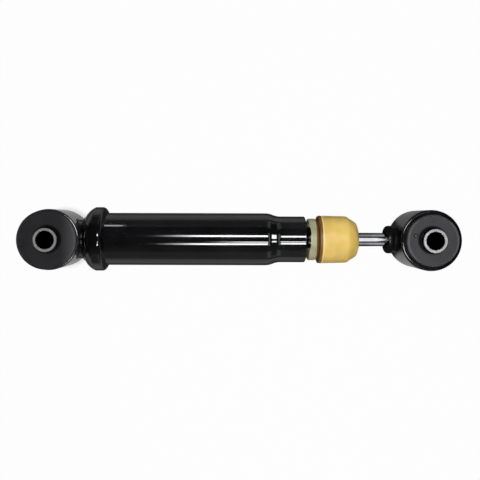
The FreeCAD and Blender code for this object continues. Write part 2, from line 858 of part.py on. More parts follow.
def foot_valve_pin():
    """The shouldered pin through the foot valve."""
    seat = foot_back + S.foot_skirt + S.foot_plate + S.seat_gap
    back = foot_back + S.foot_tail
    shank = seat - back
    shoulder = S.foot_pin_radius + S.foot_pin_shoulder
    neck = shank + foot_shoulder_length
    turned("foot_valve_pin", [
        (0, 0),
        (neck + S.foot_head_height, 0),
        (neck + S.foot_head_height, S.foot_pin_radius + S.foot_pin_head),
        (neck, S.foot_pin_radius + S.foot_pin_head),
        (neck, shoulder),
        (shank, shoulder),
        (shank, S.foot_pin_radius),
        (S.thread_bevel, S.foot_pin_radius),
        (0, S.foot_pin_radius - S.thread_bevel),
    ], back)


def foot_valve():
    """The discs and nut under the foot valve, and the check plate and spring above it."""
    bore = S.foot_pin_radius + S.seat_gap
    seat = foot_back + S.foot_skirt
    widest = foot_bleed_circle + S.inner_port_radius + S.disc_step
    disc_stack("foot_disc", seat, bore, widest)
    stack = (S.disc_thickness + S.seat_gap) * DISC_COUNT
    hex_nut("foot_valve_nut", seat - stack - S.seat_gap - S.foot_nut_height, S.foot_nut_flats,
            S.foot_nut_height, bore)
    hub = S.foot_pin_radius + S.foot_pin_shoulder
    plate_along = seat + S.foot_plate + S.running_gap
    height = foot_shoulder_length - S.plate_thickness - S.running_gap * 3
    check_plate("foot_check_plate", plate_along, hub, PISTON_PORTS, S.inner_port_circle)
    check_spring("foot_check_spring", plate_along + S.plate_thickness + S.running_gap, hub, height)


def broken_objects():
    """Names every object of the document that failed, or whose shape is empty or not valid."""
    failed = [item.Name for item in document.Objects if {"Invalid", "Error"} & set(item.State)]
    bad = [item.Label for item in sub_parts if item.Shape.isNull() or not item.Shape.isValid()]
    return failed + bad


S = fill_sheet()

# Stations along the axis, from the base eye to the rod eye
cap_back = S.eye_radius + S.eye_to_cap
tube_head_end = cap_back + S.tube_length + S.swage_length + S.head_length
cover_back = tube_head_end - S.crimp_inset - S.cover_rim
guide_back = cover_back - S.seat_gap - S.guide_length
seat_back = tube_head_end + S.crimp_length + S.seat_gap
stop_back = seat_back + S.seat_length + S.seat_gap
collar_back = stop_back + S.stop_length + S.free_travel
eye_distance = collar_back + S.collar_length + S.eye_radius
foot_back = cap_back + S.cap_wall + S.seat_gap

# Stations of the rod's pieces, down from the rebound stop
plate_hub_length = S.plate_thickness + S.plate_lift + S.spring_room
foot_shoulder_length = S.plate_thickness + S.plate_lift + S.spring_room
foot_bleed_circle = S.foot_pin_radius + S.foot_pin_shoulder + S.inner_port_radius
buffer_back = guide_back - S.free_gap - S.rebound_travel - S.buffer_length
stop_ring_back = buffer_back - S.stop_ring_length
rod_shoulder = stop_ring_back - S.stop_spacing
piston_back = rod_shoulder - S.seat_gap * 2 - S.washer_thickness - plate_hub_length - S.piston_length
washer_back = piston_back - (S.disc_thickness + S.seat_gap) * DISC_COUNT - S.seat_gap - S.washer_thickness
nut_back = washer_back - S.seat_gap - S.nut_height
rod_back = nut_back - S.thread_tail

eye_ring("lower_eye_ring", 0)
bush_rubber("lower_bush_rubber", 0, S.lower_face_radius, S.lower_overhang)
bush_sleeve("lower_bush_sleeve", 0)
lower_eye_stub()
base_cap()
reserve_tube()
pressure_tube()
foot_valve_body()
foot_valve_pin()
foot_valve()
rod_guide()
guide_bush()
guide_o_ring()
rod_seal()
seal_spring()
seal_cover()
dust_wiper()
stop_seat()
bump_stop()
piston_rod()
rod_collar()
eye_ring("upper_eye_ring", eye_distance)
bush_rubber("upper_bush_rubber", eye_distance, S.upper_face_radius, S.upper_overhang)
bush_sleeve("upper_bush_sleeve", eye_distance)
rebound_stop()
piston_body()
piston_band()
piston_stop_plate()
piston_check_valve()
rebound_valve()
piston_nut()

document.recompute()
broken = broken_objects()
if broken:
    raise RuntimeError("These pieces did not build: " + ", ".join(broken))
os.makedirs("parts", exist_ok=True)
for sub_part in sub_parts:
    sub_part.Shape.exportStep(f"parts/{sub_part.Label}.step")
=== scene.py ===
"""Looks of a cab damper: finishes, welds and re-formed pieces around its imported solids, light and camera.

The damper lies along X from its base eye to its rod eye, and the eye bolts run along Z.
All lengths are in metres.
"""

import json
import logging
import math
from abc import ABC, abstractmethod
from dataclasses import dataclass, field, replace
from enum import Enum
from functools import cache

import bmesh
import bpy
import numpy as np
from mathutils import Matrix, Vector


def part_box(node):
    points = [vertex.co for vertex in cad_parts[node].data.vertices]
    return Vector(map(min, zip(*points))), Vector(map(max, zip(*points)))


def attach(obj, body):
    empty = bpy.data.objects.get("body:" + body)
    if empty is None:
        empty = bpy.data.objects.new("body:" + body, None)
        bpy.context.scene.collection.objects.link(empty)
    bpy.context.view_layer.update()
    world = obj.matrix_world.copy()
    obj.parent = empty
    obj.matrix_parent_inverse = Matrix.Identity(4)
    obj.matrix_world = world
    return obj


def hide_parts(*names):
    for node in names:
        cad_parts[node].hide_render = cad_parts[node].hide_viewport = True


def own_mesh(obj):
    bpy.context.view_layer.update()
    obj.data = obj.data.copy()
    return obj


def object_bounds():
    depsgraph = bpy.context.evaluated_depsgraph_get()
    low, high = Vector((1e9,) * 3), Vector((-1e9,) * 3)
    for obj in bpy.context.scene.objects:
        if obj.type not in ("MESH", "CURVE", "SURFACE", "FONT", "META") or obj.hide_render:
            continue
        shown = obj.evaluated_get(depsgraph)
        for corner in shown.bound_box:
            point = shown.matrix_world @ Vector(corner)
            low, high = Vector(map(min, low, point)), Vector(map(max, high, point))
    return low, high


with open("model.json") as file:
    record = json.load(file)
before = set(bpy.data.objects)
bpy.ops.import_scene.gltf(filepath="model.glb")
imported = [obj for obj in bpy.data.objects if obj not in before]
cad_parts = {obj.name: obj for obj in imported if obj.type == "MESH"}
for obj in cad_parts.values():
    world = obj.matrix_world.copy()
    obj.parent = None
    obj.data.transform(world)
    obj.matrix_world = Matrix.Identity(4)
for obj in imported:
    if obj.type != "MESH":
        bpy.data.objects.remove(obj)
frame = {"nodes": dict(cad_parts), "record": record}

CAD_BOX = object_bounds()
MM = 0.001
MERGE = 0.001 * MM
CREASE = math.radians(35.0)
NODES = frame["nodes"]

Colour = tuple[float, float, float]
Value = float | tuple | bpy.types.NodeSocket

log = logging.getLogger("cab_damper")


class Body(Enum):
    """Bodies of the damper that pieces ride on."""

    CYLINDER = "cylinder"
    ROD = "rod"


class Slot(Enum):
    """Names of material slots of the record; the code below does not use them."""

    PAINT = "black_paint"
    RUBBER = "bush_rubber"
    STOP = "stop_polyurethane"
    STEEL = "inner_steel"


class Side(Enum):
    """Which way along X an eye's welded neck points."""

    FORWARD = 1.0
    BACKWARD = -1.0


def srgb(red: int, green: int, blue: int) -> Colour:
    """Turns a screen colour into a linear one.

    Args:
        red: Red from 0 to 255.
        green: Green from 0 to 255.
        blue: Blue from 0 to 255.

    Returns:
        The linear colour, each part from 0 to 1.
    """
    def part(level: int) -> float:
        """Gives the linear share of one screen level."""
        share = level / 255
        return share / 12.92 if share <= 0.04045 else ((share + 0.055) / 1.055) ** 2.4

    return part(red), part(green), part(blue)


class Sheet:
    """Lays out the nodes of one material, world or node group."""

    def __init__(self, tree: bpy.types.NodeTree) -> None:
        """Keeps the tree and empties it.

        Args:
            tree: The node tree to fill.
        """
        self.tree = tree
        self.tree.nodes.clear()

    def feed(self, socket: bpy.types.NodeSocket, value: Value) -> None:
        """Links a socket to another one, or sets its plain value.

        Args:
            socket: The input to feed.
            value: An output to link, or a number, vector or colour to set.
        """
        if isinstance(value, bpy.types.NodeSocket):
            self.tree.links.new(value, socket)
        elif isinstance(value, tuple) and socket.type == "RGBA" and len(value) == 3:
            socket.default_value = (*value, 1.0)
        else:
            socket.default_value = value

    def add(self, kind: str, inputs: dict[str | int, Value] | None = None,
            **settings: object) -> bpy.types.Node:
        """Adds a node.

        Args:
            kind: The kind of node, by its type's name.
            inputs: What each input is fed with, by its name or number.
            settings: Properties of the node.

        Returns:
            The new node.
        """
        node = self.tree.nodes.new(kind)
        for name, setting in settings.items():
            setattr(node, name, setting)
        for key, value in (inputs or {}).items():
            self.feed(node.inputs[key], value)
        return node

    def math(self, operation: str, *values: Value) -> bpy.types.NodeSocket:
        """Adds a sum, product or other operation on numbers and returns its result."""
        return self.add("ShaderNodeMath", dict(enumerate(values)), operation=operation).outputs[0]

    def times(self, first: Value, second: Value) -> bpy.types.NodeSocket:
        """Adds a product and returns its result."""
        return self.math("MULTIPLY", first, second)

    def vector(self, operation: str, *values: Value) -> bpy.types.Node:
        """Adds an operation on vectors and returns its node."""
        return self.add("ShaderNodeVectorMath", dict(enumerate(values)), operation=operation)

    def ramp(self, value: Value, low: float, high: float, start: Value = 0.0,
             end: Value = 1.0) -> bpy.types.NodeSocket:
        """Maps a value smoothly from one range to another.

        Args:
            value: The value to map.
            low: Where the first range starts.
            high: Where the first range ends.
            start: The result at low and before it.
            end: The result at high and after it.

        Returns:
            The mapped value.
        """
        inputs = {"Value": value, "From Min": low, "From Max": high, "To Min": start, "To Max": end}
        return self.add("ShaderNodeMapRange", inputs, interpolation_type="SMOOTHSTEP").outputs[0]

    def between(self, share: Value, first: Value, second: Value) -> bpy.types.NodeSocket:
        """Goes smoothly from one number at a share of 0 to another at 1."""
        return self.ramp(share, 0.0, 1.0, first, second)

    def blend(self, share: Value, first: Value, second: Value) -> bpy.types.NodeSocket:
        """Mixes two colours and returns the result, the first one at a share of 0."""
        node = self.add("ShaderNodeMix", data_type="RGBA")
        self.feed(node.inputs[0], share)
        self.feed(node.inputs[6], first)
        self.feed(node.inputs[7], second)
        return node.outputs[2]

    def noise(self, place: Value, scale: Value, detail: float = 2.0) -> bpy.types.NodeSocket:
        """Adds soft noise and returns its value."""
        inputs = {"Vector": place, "Scale": scale, "Detail": detail}
        return self.add("ShaderNodeTexNoise", inputs).outputs["Fac"]

    def bump(self, height: Value, distance: float) -> bpy.types.NodeSocket:
        """Turns a height into a normal, with the height's full range as deep as the distance."""
        inputs = {"Height": height, "Distance": distance, "Strength": 1.0}
        return self.add("ShaderNodeBump", inputs).outputs["Normal"]

    def place(self, centre: tuple = (0.0, 0.0, 0.0), turn: tuple = (0.0, 0.0, 0.0)) -> bpy.types.NodeSocket:
        """Gives the object's own coordinates, centred on a point and then turned.

        Args:
            centre: The point that becomes the origin.
            turn: Turns about X, Y and Z, in radians.

        Returns:
            The coordinates.
        """
        own = self.add("ShaderNodeTexCoord").outputs["Object"]
        moved = self.vector("SUBTRACT", own, centre).outputs[0]
        return self.add("ShaderNodeMapping", {"Vector": moved, "Rotation": turn}).outputs[0]

    def split(self, place: Value) -> bpy.types.NodeOutputs:
        """Splits coordinates into X, Y and Z."""
        return self.add("ShaderNodeSeparateXYZ", {0: place}).outputs

    def off_z(self, place: Value) -> bpy.types.NodeSocket:
        """Measures how far coordinates lie from the Z axis."""
        flat = self.vector("MULTIPLY", place, (1.0, 1.0, 0.0)).outputs[0]
        return self.vector("LENGTH", flat).outputs["Value"]


class SharedEffects:
    """Builds each shared surface effect once, as a node group that reads coordinates and some numbers."""

    TONE_SPAN = (0.3, 0.7)
    NIB_RADII = (0.06, 0.2)
    EDGE_TURN = (0.02, 0.2)
    EDGE_PATCHES = (0.42, 0.62)
    RING_WANDER_SCALE = 400.0

    @staticmethod
    def start(name: str, numbers: tuple[str, ...],
              outputs: tuple[str, ...]) -> tuple[bpy.types.NodeTree, Sheet, bpy.types.NodeOutputs]:
        """Starts a node group.

        Args:
            name: The group's name.
            numbers: The names of its inputs beside the coordinates.
            outputs: The names of its outputs, which are numbers.

        Returns:
            The group, its sheet and what its inputs give.
        """
        group = bpy.data.node_groups.new(name, "ShaderNodeTree")
        sockets = group.interface
        sockets.new_socket(name="Vector", in_out="INPUT", socket_type="NodeSocketVector")
        for label in numbers:
            sockets.new_socket(name=label, in_out="INPUT", socket_type="NodeSocketFloat")
        for label in outputs:
            sockets.new_socket(name=label, in_out="OUTPUT", socket_type="NodeSocketFloat")
        sheet = Sheet(group)
        return group, sheet, sheet.add("NodeGroupInput").outputs

    @classmethod
    @cache
    def grain(cls) -> bpy.types.NodeTree:
        """Gives the group of fine surface grain over slow, broad tone."""
        group, sheet, given = cls.start("surface_grain", ("Fine Scale", "Broad Scale"), ("Height", "Tone"))
        fine = sheet.noise(given["Vector"], given["Fine Scale"], detail=3.0)
        broad = sheet.noise(given["Vector"], given["Broad Scale"], detail=4.0)
        sheet.add("NodeGroupOutput", {"Height": fine, "Tone": sheet.ramp(broad, *cls.TONE_SPAN)})
        return group

    @classmethod
    @cache
    def nibs(cls) -> bpy.types.NodeTree:
        """Gives the group of sparse round nibs, such as dust in paint or specks in a moulding."""
        group, sheet, given = cls.start("sparse_nibs", ("Scale", "Share"), ("Mask",))
        spread = {"Vector": given["Vector"], "Scale": given["Scale"]}
        cells = sheet.add("ShaderNodeTexVoronoi", spread).outputs
        lot = sheet.add("ShaderNodeSeparateColor", {0: cells["Color"]}).outputs[0]
        picked = sheet.math("LESS_THAN", lot, given["Share"])
        dot = sheet.ramp(cells["Distance"], *cls.NIB_RADII, 1.0, 0.0)
        sheet.add("NodeGroupOutput", {"Mask": sheet.times(dot, picked)})
        return group

    @classmethod
    @cache
    def edge(cls) -> bpy.types.NodeTree:
        """Gives the group that finds rubbed edges."""
        group, sheet, given = cls.start("edge_rub", ("Radius", "Scale"), ("Mask",))
        rounded = sheet.add("ShaderNodeBevel", {"Radius": given["Radius"]}, samples=6).outputs[0]
        plain = sheet.add("ShaderNodeNewGeometry").outputs["Normal"]
        turned = sheet.math("SUBTRACT", 1.0, sheet.vector("DOT_PRODUCT", rounded, plain).outputs["Value"])
        edges = sheet.ramp(turned, *cls.EDGE_TURN)
        patches = sheet.ramp(sheet.noise(given["Vector"], given["Scale"], detail=5.0), *cls.EDGE_PATCHES)
        sheet.add("NodeGroupOutput", {"Mask": sheet.times(edges, patches)})
        return group

    @classmethod
    @cache
    def turning(cls) -> bpy.types.NodeTree:
        """Gives the group of tool rings that a lathe leaves round Z."""
        group, sheet, given = cls.start("turning_rings", ("Pitch",), ("Height",))
        sway = sheet.noise(given["Vector"], cls.RING_WANDER_SCALE)
        wander = sheet.times(sway, given["Pitch"])
        reach = sheet.math("ADD", sheet.off_z(given["Vector"]), wander)
        turns = sheet.math("DIVIDE", reach, given["Pitch"])
        wave = sheet.math("SINE", sheet.times(turns, 2 * math.pi))
        sheet.add("NodeGroupOutput", {"Height": sheet.ramp(wave, -1.0, 1.0)})
        return group


@dataclass(frozen=True)
class Finish(ABC):
    """A finish of the damper, made into a material when it is first asked for.

    Pairs of values: grain scales are fine and broad, a spread is a scale and a share, an edge rub is
    a radius and a scale, and a roughness is that of the first and of the second tone.
    """

    name: str

    def material(self) -> bpy.types.Material:
        """Gives the finish's material.

        Returns:
            The material, built on the first call.
        """
        label = f"damper_{self.name}"
        found = bpy.data.materials.get(label)
        if found:
            return found
        made = bpy.data.materials.new(label)
        made.use_nodes = True
        sheet = Sheet(made.node_tree)
        shader = sheet.add("ShaderNodeBsdfPrincipled", self.lay(sheet))
        sheet.add("ShaderNodeOutputMaterial", {"Surface": shader.outputs[0]})
        return made

    @abstractmethod
    def lay(self, sheet: Sheet) -> dict[str, Value]:
        """Lays the finish's nodes out before its shader.

        Args:
            sheet: The sheet of the material.

        Returns:
            What each input of the shader is fed with, by its name.
        """

    @staticmethod
    def effect(sheet: Sheet, group: bpy.types.NodeTree, **inputs: Value) -> bpy.types.NodeOutputs:
        """Places a shared effect.

        Args:
            sheet: The sheet of the material.
            group: The effect's node group.
            inputs: Its inputs, with their names' blanks written as underscores.

        Returns:
            The effect's outputs.
        """
        node = sheet.add("ShaderNodeGroup", node_tree=group)
        for label, value in inputs.items():
            sheet.feed(node.inputs[label.replace("_", " ")], value)
        return node.outputs

    def grain(self, sheet: Sheet, place: Value, fine: float, broad: float) -> bpy.types.NodeOutputs:
        """Places fine grain and broad tone, each at its scale."""
        return self.effect(sheet, SharedEffects.grain(), Vector=place, Fine_Scale=fine, Broad_Scale=broad)

    def nibs(self, sheet: Sheet, place: Value, scale: float, share: float) -> bpy.types.NodeSocket:
        """Places sparse nibs and returns their mask."""
        return self.effect(sheet, SharedEffects.nibs(), Vector=place, Scale=scale, Share=share)["Mask"]

    def edges(self, sheet: Sheet, place: Value, radius: float, scale: float) -> bpy.types.NodeSocket:
        """Places rubbed edges and returns their mask."""
        return self.effect(sheet, SharedEffects.edge(), Vector=place, Radius=radius, Scale=scale)["Mask"]

    def rings(self, sheet: Sheet, place: Value, pitch: float) -> bpy.types.NodeSocket:
        """Places turning rings and returns their height."""
        return self.effect(sheet, SharedEffects.turning(), Vector=place, Pitch=pitch)["Height"]


@dataclass(frozen=True)
class GlossPaint(Finish):
    """Glossy black paint with a little orange peel, dust nibs and thin edges."""

    black: Colour = srgb(8, 8, 9)
    haze: Colour = srgb(15, 15, 17)
    primer: Colour = srgb(44, 44, 46)
    peel: float = 0.006 * MM
    dullness: float = 0.04
    index: float = 1.7
    grain_scales: tuple = (420.0, 45.0)
    nib_spread: tuple = (260.0, 0.05)
    nib_height: float = 1.5
    edge_rub: tuple = (0.5 * MM, 380.0)
    edge_share: float = 0.5
    edge_dullness: float = 0.2

    def lay(self, sheet: Sheet) -> dict[str, Value]:
        """Lays out the paint's peel, haze, nibs and edges."""
        place = sheet.place()
        grain = self.grain(sheet, place, *self.grain_scales)
        nibs = self.nibs(sheet, place, *self.nib_spread)
        rubbed = self.edges(sheet, place, *self.edge_rub)
        coat = sheet.blend(grain["Tone"], self.black, self.haze)
        thinned = sheet.times(rubbed, self.edge_share)
        gloss = sheet.between(grain["Tone"], self.dullness, 2 * self.dullness)
        worn = sheet.times(rubbed, self.edge_dullness)
        height = sheet.math("ADD", grain["Height"], sheet.times(nibs, self.nib_height))
        return {
            "Base Color": sheet.blend(thinned, coat, self.primer),
            "Roughness": sheet.math("ADD", gloss, worn),
            "IOR": self.index,
            "Normal": sheet.bump(height, self.peel),
        }


@dataclass(frozen=True)
class BushRubber(Finish):
    """Satin moulded rubber with a faint bloom, release marks round the eye's axis and lighter rubbed edges,
    with painted shade round its sleeve and pip, a painted sheen to one side and a painted highlight ring
    inside its rim.
    """

    centre: tuple = (0.0, 0.0, 0.0)
    rim: float = 20.0 * MM
    dark: Colour = srgb(40, 40, 42)
    bloom: Colour = srgb(52, 52, 55)
    # worn: colour of a painted sheen, lighter towards +X where more light falls, not wear
    worn: Colour = srgb(92, 92, 95)
    # edge: colour of the painted highlight ring on the rim and of lighter rubbed edges
    edge: Colour = srgb(110, 110, 113)
    # near black painted shade for the halo round the sleeve and the ring round the moulding pip
    painted_shade: Colour = srgb(2, 2, 3)
    gloss: float = 0.1
    roughness: float = 0.46
    roughness_spread: float = 0.14
    # halo: the ring of painted shade where the raised sleeve meets the rubber
    halo: tuple = (9.8 * MM, 12.0 * MM)
    halo_shift: tuple = (0.0, 0.5 * MM, 0.0)
    sheen_from: tuple = (10.0 * MM, 24.0 * MM)
    sheen_share: float = 0.0
    # share of the painted highlight on the rim and of lighter rubbed edges
    edge_share: float = 0.2
    # the spot is a ring of painted shade round the moulding pip
    shade_spot: tuple = ()
    shade_spot_radius: tuple = (1.0 * MM, 2.0 * MM)
    grain_scales: tuple = (2200.0, 70.0)
    grain_depth: float = 0.02 * MM
    bloom_share: float = 0.55
    speck_spread: tuple = (420.0, 0.06)
    speck_share: float = 0.8
    edge_rub: tuple = (0.6 * MM, 300.0)
    ring_pitch: float = 2.4 * MM
    ring_height: float = 0.6
    rim_inner: tuple = (2.2 * MM, 1.2 * MM)
    rim_outer: float = 0.5 * MM
    rim_ends: tuple = (0.45, 0.85)

    def lay(self, sheet: Sheet) -> dict[str, Value]:
        """Lays out the rubber's bloom, grain, moulding rings and rubbed edges, and its painted shade, sheen
        and highlight.
        """
        place = sheet.place(self.centre)
        grain = self.grain(sheet, place, *self.grain_scales)
        rings = self.rings(sheet, place, self.ring_pitch)
        rubbed = self.edges(sheet, place, *self.edge_rub)
        specks = self.nibs(sheet, place, *self.speck_spread)
        bloomed = sheet.times(grain["Tone"], self.bloom_share)
        speckled = sheet.times(specks, self.speck_share)
        tone = sheet.blend(sheet.math("ADD", bloomed, speckled), self.dark, self.bloom)
        along = sheet.split(place)[0]
        # painted sheen, lighter towards +X
        tone = sheet.blend(sheet.ramp(along, *self.sheen_from, 0.0, self.sheen_share), tone, self.worn)
        # painted shade round the sleeve, and round the pip below
        tone = sheet.blend(self.around(sheet, self.halo_shift, self.halo), tone, self.painted_shade)
        if self.shade_spot:
            tone = sheet.blend(self.around(sheet, self.shade_spot, self.shade_spot_radius), tone, self.painted_shade)
        edges = sheet.times(rubbed, self.edge_share)
        # painted highlight ring on the rim, or lighter rubbed edges
        highlighted_or_rubbed = sheet.math("MAXIMUM", self.rim_highlight(sheet, place, along), edges)
        roughest = self.roughness + self.roughness_spread
        height = sheet.math("ADD", grain["Height"], sheet.times(rings, self.ring_height))
        return {
            "Base Color": sheet.blend(highlighted_or_rubbed, tone, self.edge),
            "Specular IOR Level": self.gloss,
            "Roughness": sheet.between(grain["Tone"], self.roughness, roughest),
            "Normal": sheet.bump(height, self.grain_depth),
        }

    def rim_highlight(self, sheet: Sheet, place: Value, along: Value) -> bpy.types.NodeSocket:
        """Finds the painted highlight ring inside the rim, which fades away beside the eye's middle.

        Args:
            sheet: The sheet of the material.
            place: Coordinates from the eye's centre.
            along: How far they lie along X.

        Returns:
            The share of the painted highlight ring.
        """
        reach = sheet.off_z(place)
        inner_start, inner_end = (self.rim - depth for depth in self.rim_inner)
        inner = sheet.ramp(reach, inner_start, inner_end)
        outer = sheet.ramp(reach, self.rim - self.rim_outer, self.rim, 1.0, 0.0)
        ends_start, ends_end = (share * self.rim for share in self.rim_ends)
        ends = sheet.ramp(sheet.math("ABSOLUTE", along), ends_start, ends_end, 0.0, self.edge_share)
        return sheet.times(sheet.times(inner, outer), ends)

    def around(self, sheet: Sheet, shift: tuple, radii: tuple) -> bpy.types.NodeSocket:
        """Finds a round patch of painted shade.

        Args:
            sheet: The sheet of the material.
            shift: How far the patch lies from the eye's centre.
            radii: Where the painted shade starts to fade and where it ends.

        Returns:
            The share of painted shade.
        """
        middle = tuple(a + b for a, b in zip(self.centre, shift))
        return sheet.ramp(sheet.off_z(sheet.place(middle)), *radii, 1.0, 0.0)


@dataclass(frozen=True)
class SleeveSteel(Finish):
    """Steel of a bolt sleeve, bright on its turned end faces and near black on its walls: phosphate, with
    painted shade in the bore and a painted dark reflection on the outer wall.
    """

    centre: tuple = (0.0, 0.0, 0.0)
    end: float = 0.0
    bright: Colour = srgb(170, 169, 168)
    dull: Colour = srgb(148, 147, 146)
    # near black walls: phosphate, painted shade in the bore and a painted dark reflection on the outer wall
    phosphate_and_shade: Colour = srgb(3, 3, 3)
    face_depth: float = 0.45 * MM
    face_clear: float = 0.3
    shine: float = 0.55
    roughness: tuple = (0.46, 0.6)
    grain_scales: tuple = (1500.0, 160.0)
    grain_height: float = 0.5
    ring_pitch: float = 0.35 * MM
    ring_depth: float = 0.012 * MM
    edge_rub: tuple = (0.3 * MM, 500.0)

    def lay(self, sheet: Sheet) -> dict[str, Value]:
        """Lays out the turning rings, stains and edges."""
        place = sheet.place(self.centre)
        grain = self.grain(sheet, place, *self.grain_scales)
        rings = self.rings(sheet, place, self.ring_pitch)
        rubbed = self.edges(sheet, place, *self.edge_rub)
        along = sheet.math("ABSOLUTE", sheet.split(place)[2])
        face = sheet.ramp(along, self.end - self.face_depth, self.end - self.face_clear * self.face_depth)
        stain = sheet.math("SUBTRACT", grain["Tone"], rubbed)
        turned = sheet.blend(stain, self.bright, self.dull)
        height = sheet.math("ADD", rings, sheet.times(grain["Height"], self.grain_height))
        return {
            # near black walls as phosphate and painted shade, bright end faces
            "Base Color": sheet.blend(face, self.phosphate_and_shade, turned),
            "Specular IOR Level": 0.0,
            "Metallic": sheet.between(face, 0.0, self.shine),
            "Roughness": sheet.between(grain["Tone"], *self.roughness),
            "Normal": sheet.bump(height, self.ring_depth),
        }


@dataclass(frozen=True)
class SeatPlastic(Finish):
    """Satin olive plastic with ragged black overspray on its tube side, partly painted shade of the tube's
    crimp, and painted brown shade at the stop.
    """

    face_x: float = 0.0
    stop_x: float = 0.0
    olive: Colour = srgb(144, 144, 110)
    pale: Colour = srgb(164, 162, 130)
    # black for the overspray, which also stands in as painted shade of the tube's crimp seen from above
    overspray_and_shade: Colour = srgb(14, 14, 11)
    # stain: painted brown shade where the seat meets the stop's foot
    stain: Colour = srgb(104, 74, 36)
    overspray: float = 2.2 * MM
    overspray_scale: float = 300.0
    overspray_edge: tuple = (0.1 * MM, 0.3 * MM)
    overspray_half: float = 9.0 * MM
    overspray_fade: float = 0.8 * MM
    overspray_shift: float = 1.6 * MM
    spray_gloss: float = 0.1
    shade_length: float = 1.9 * MM
    shade_fade: float = 0.3 * MM
    roughness: tuple = (0.38, 0.5)
    grain_scales: tuple = (2600.0, 110.0)
    grain_depth: float = 0.02 * MM

    def lay(self, sheet: Sheet) -> dict[str, Value]:
        """Lays out the plastic's tone, grain, overspray and painted shade."""
        place = sheet.place((self.face_x, self.overspray_shift, 0.0))
        grain = self.grain(sheet, place, *self.grain_scales)
        along, across, _ = sheet.split(place)
        rough_edge = sheet.noise(place, self.overspray_scale, detail=4.0)
        ragged = sheet.times(rough_edge, self.overspray)
        painted = sheet.ramp(sheet.math("SUBTRACT", along, ragged), *self.overspray_edge, 1.0, 0.0)
        half = sheet.math("ADD", sheet.math("ABSOLUTE", across), ragged)
        fade_end = self.overspray_half + self.overspray_fade
        upper = sheet.ramp(half, self.overspray_half, fade_end, 1.0, 0.0)
        tone = sheet.blend(grain["Tone"], self.olive, self.pale)
        # painted brown shade over the seat's last stretch before the stop
        shade_from = self.stop_x - self.face_x - self.shade_length
        shaded_band = sheet.ramp(along, shade_from, shade_from + self.shade_fade)
        tone = sheet.blend(shaded_band, tone, self.stain)
        # overspray and painted crimp shade, kept to the top and bottom faces
        sprayed_and_shaded = sheet.times(painted, upper)
        satin = sheet.between(grain["Tone"], *self.roughness)
        return {
            "Base Color": sheet.blend(sprayed_and_shaded, tone, self.overspray_and_shade),
            "Roughness": sheet.between(sprayed_and_shaded, satin, self.spray_gloss),
            "Normal": sheet.bump(grain["Height"], self.grain_depth),
        }


@dataclass(frozen=True)
class StopUrethane(Finish):
    """Cast yellow polyurethane with flow clouds and tiny bubbles, painted brown shade on its foot and a
    painted highlight line beside it.
    """

    foot_x: float = 0.0
    yellow: Colour = srgb(222, 190, 102)
    amber: Colour = srgb(204, 169, 82)
    # pale: colour of a painted highlight line along the foot's edge
    pale: Colour = srgb(240, 214, 136)
    # painted shade: brown over the foot, and darker near its end face
    foot_shade: Colour = srgb(106, 73, 31)
    end_face_shade: Colour = srgb(98, 67, 28)
    foot: float = 2.8 * MM
    foot_edge: tuple = (-0.2 * MM, 0.3 * MM)
    highlight_line: tuple = (0.4 * MM, 1.6 * MM)
    highlight_share: float = 0.8
    slope: float = 0.4 * MM
    slope_fade: float = 0.6 * MM
    sway: float = 0.5 * MM
    sway_scale: float = 120.0
    bubble_spread: tuple = (380.0, 0.05)
    bubble_tint: float = 0.35
    bubble_depth: float = 1.2
    roughness: tuple = (0.34, 0.46)
    glow_share: float = 0.12
    glow_colours: tuple = (1.0, 0.55, 0.2)
    glow_depth: float = 2.0 * MM
    grain_scales: tuple = (900.0, 60.0)
    grain_depth: float = 0.03 * MM

    def lay(self, sheet: Sheet) -> dict[str, Value]:
        """Lays out the cast's clouds, bubbles, painted shade on its foot and painted highlight line."""
        place = sheet.place((self.foot_x, 0.0, 0.0))
        grain = self.grain(sheet, place, *self.grain_scales)
        bubbles = self.nibs(sheet, place, *self.bubble_spread)
        along = sheet.split(place)[0]
        sway = sheet.math("SUBTRACT", sheet.noise(place, self.sway_scale), 0.5)
        wavy = sheet.math("ADD", along, sheet.times(sway, self.sway))
        foot_start, foot_end = (self.foot + shift for shift in self.foot_edge)
        foot = sheet.ramp(wavy, foot_start, foot_end, 1.0, 0.0)
        # painted highlight line just past the foot
        highlight_start, highlight_end = (self.foot + shift for shift in self.highlight_line)
        highlight_band = sheet.ramp(wavy, highlight_start, highlight_end, self.highlight_share, 0.0)
        slope = sheet.ramp(along, self.slope, self.slope + self.slope_fade, 1.0, 0.0)
        cast = sheet.blend(grain["Tone"], self.yellow, self.amber)
        cast = sheet.blend(sheet.times(bubbles, self.bubble_tint), cast, self.amber)
        cast = sheet.blend(highlight_band, cast, self.pale)
        # painted shade on the foot, darker near its end face
        shaded_foot = sheet.blend(slope, self.foot_shade, self.end_face_shade)
        pits = sheet.times(bubbles, self.bubble_depth)
        height = sheet.math("SUBTRACT", grain["Height"], pits)
        return {
            "Base Color": sheet.blend(foot, cast, shaded_foot),
            "Roughness": sheet.between(grain["Tone"], *self.roughness),
            "Subsurface Weight": self.glow_share,
            "Subsurface Radius": self.glow_colours,
            "Subsurface Scale": self.glow_depth,
            "Normal": sheet.bump(height, self.grain_depth),
        }


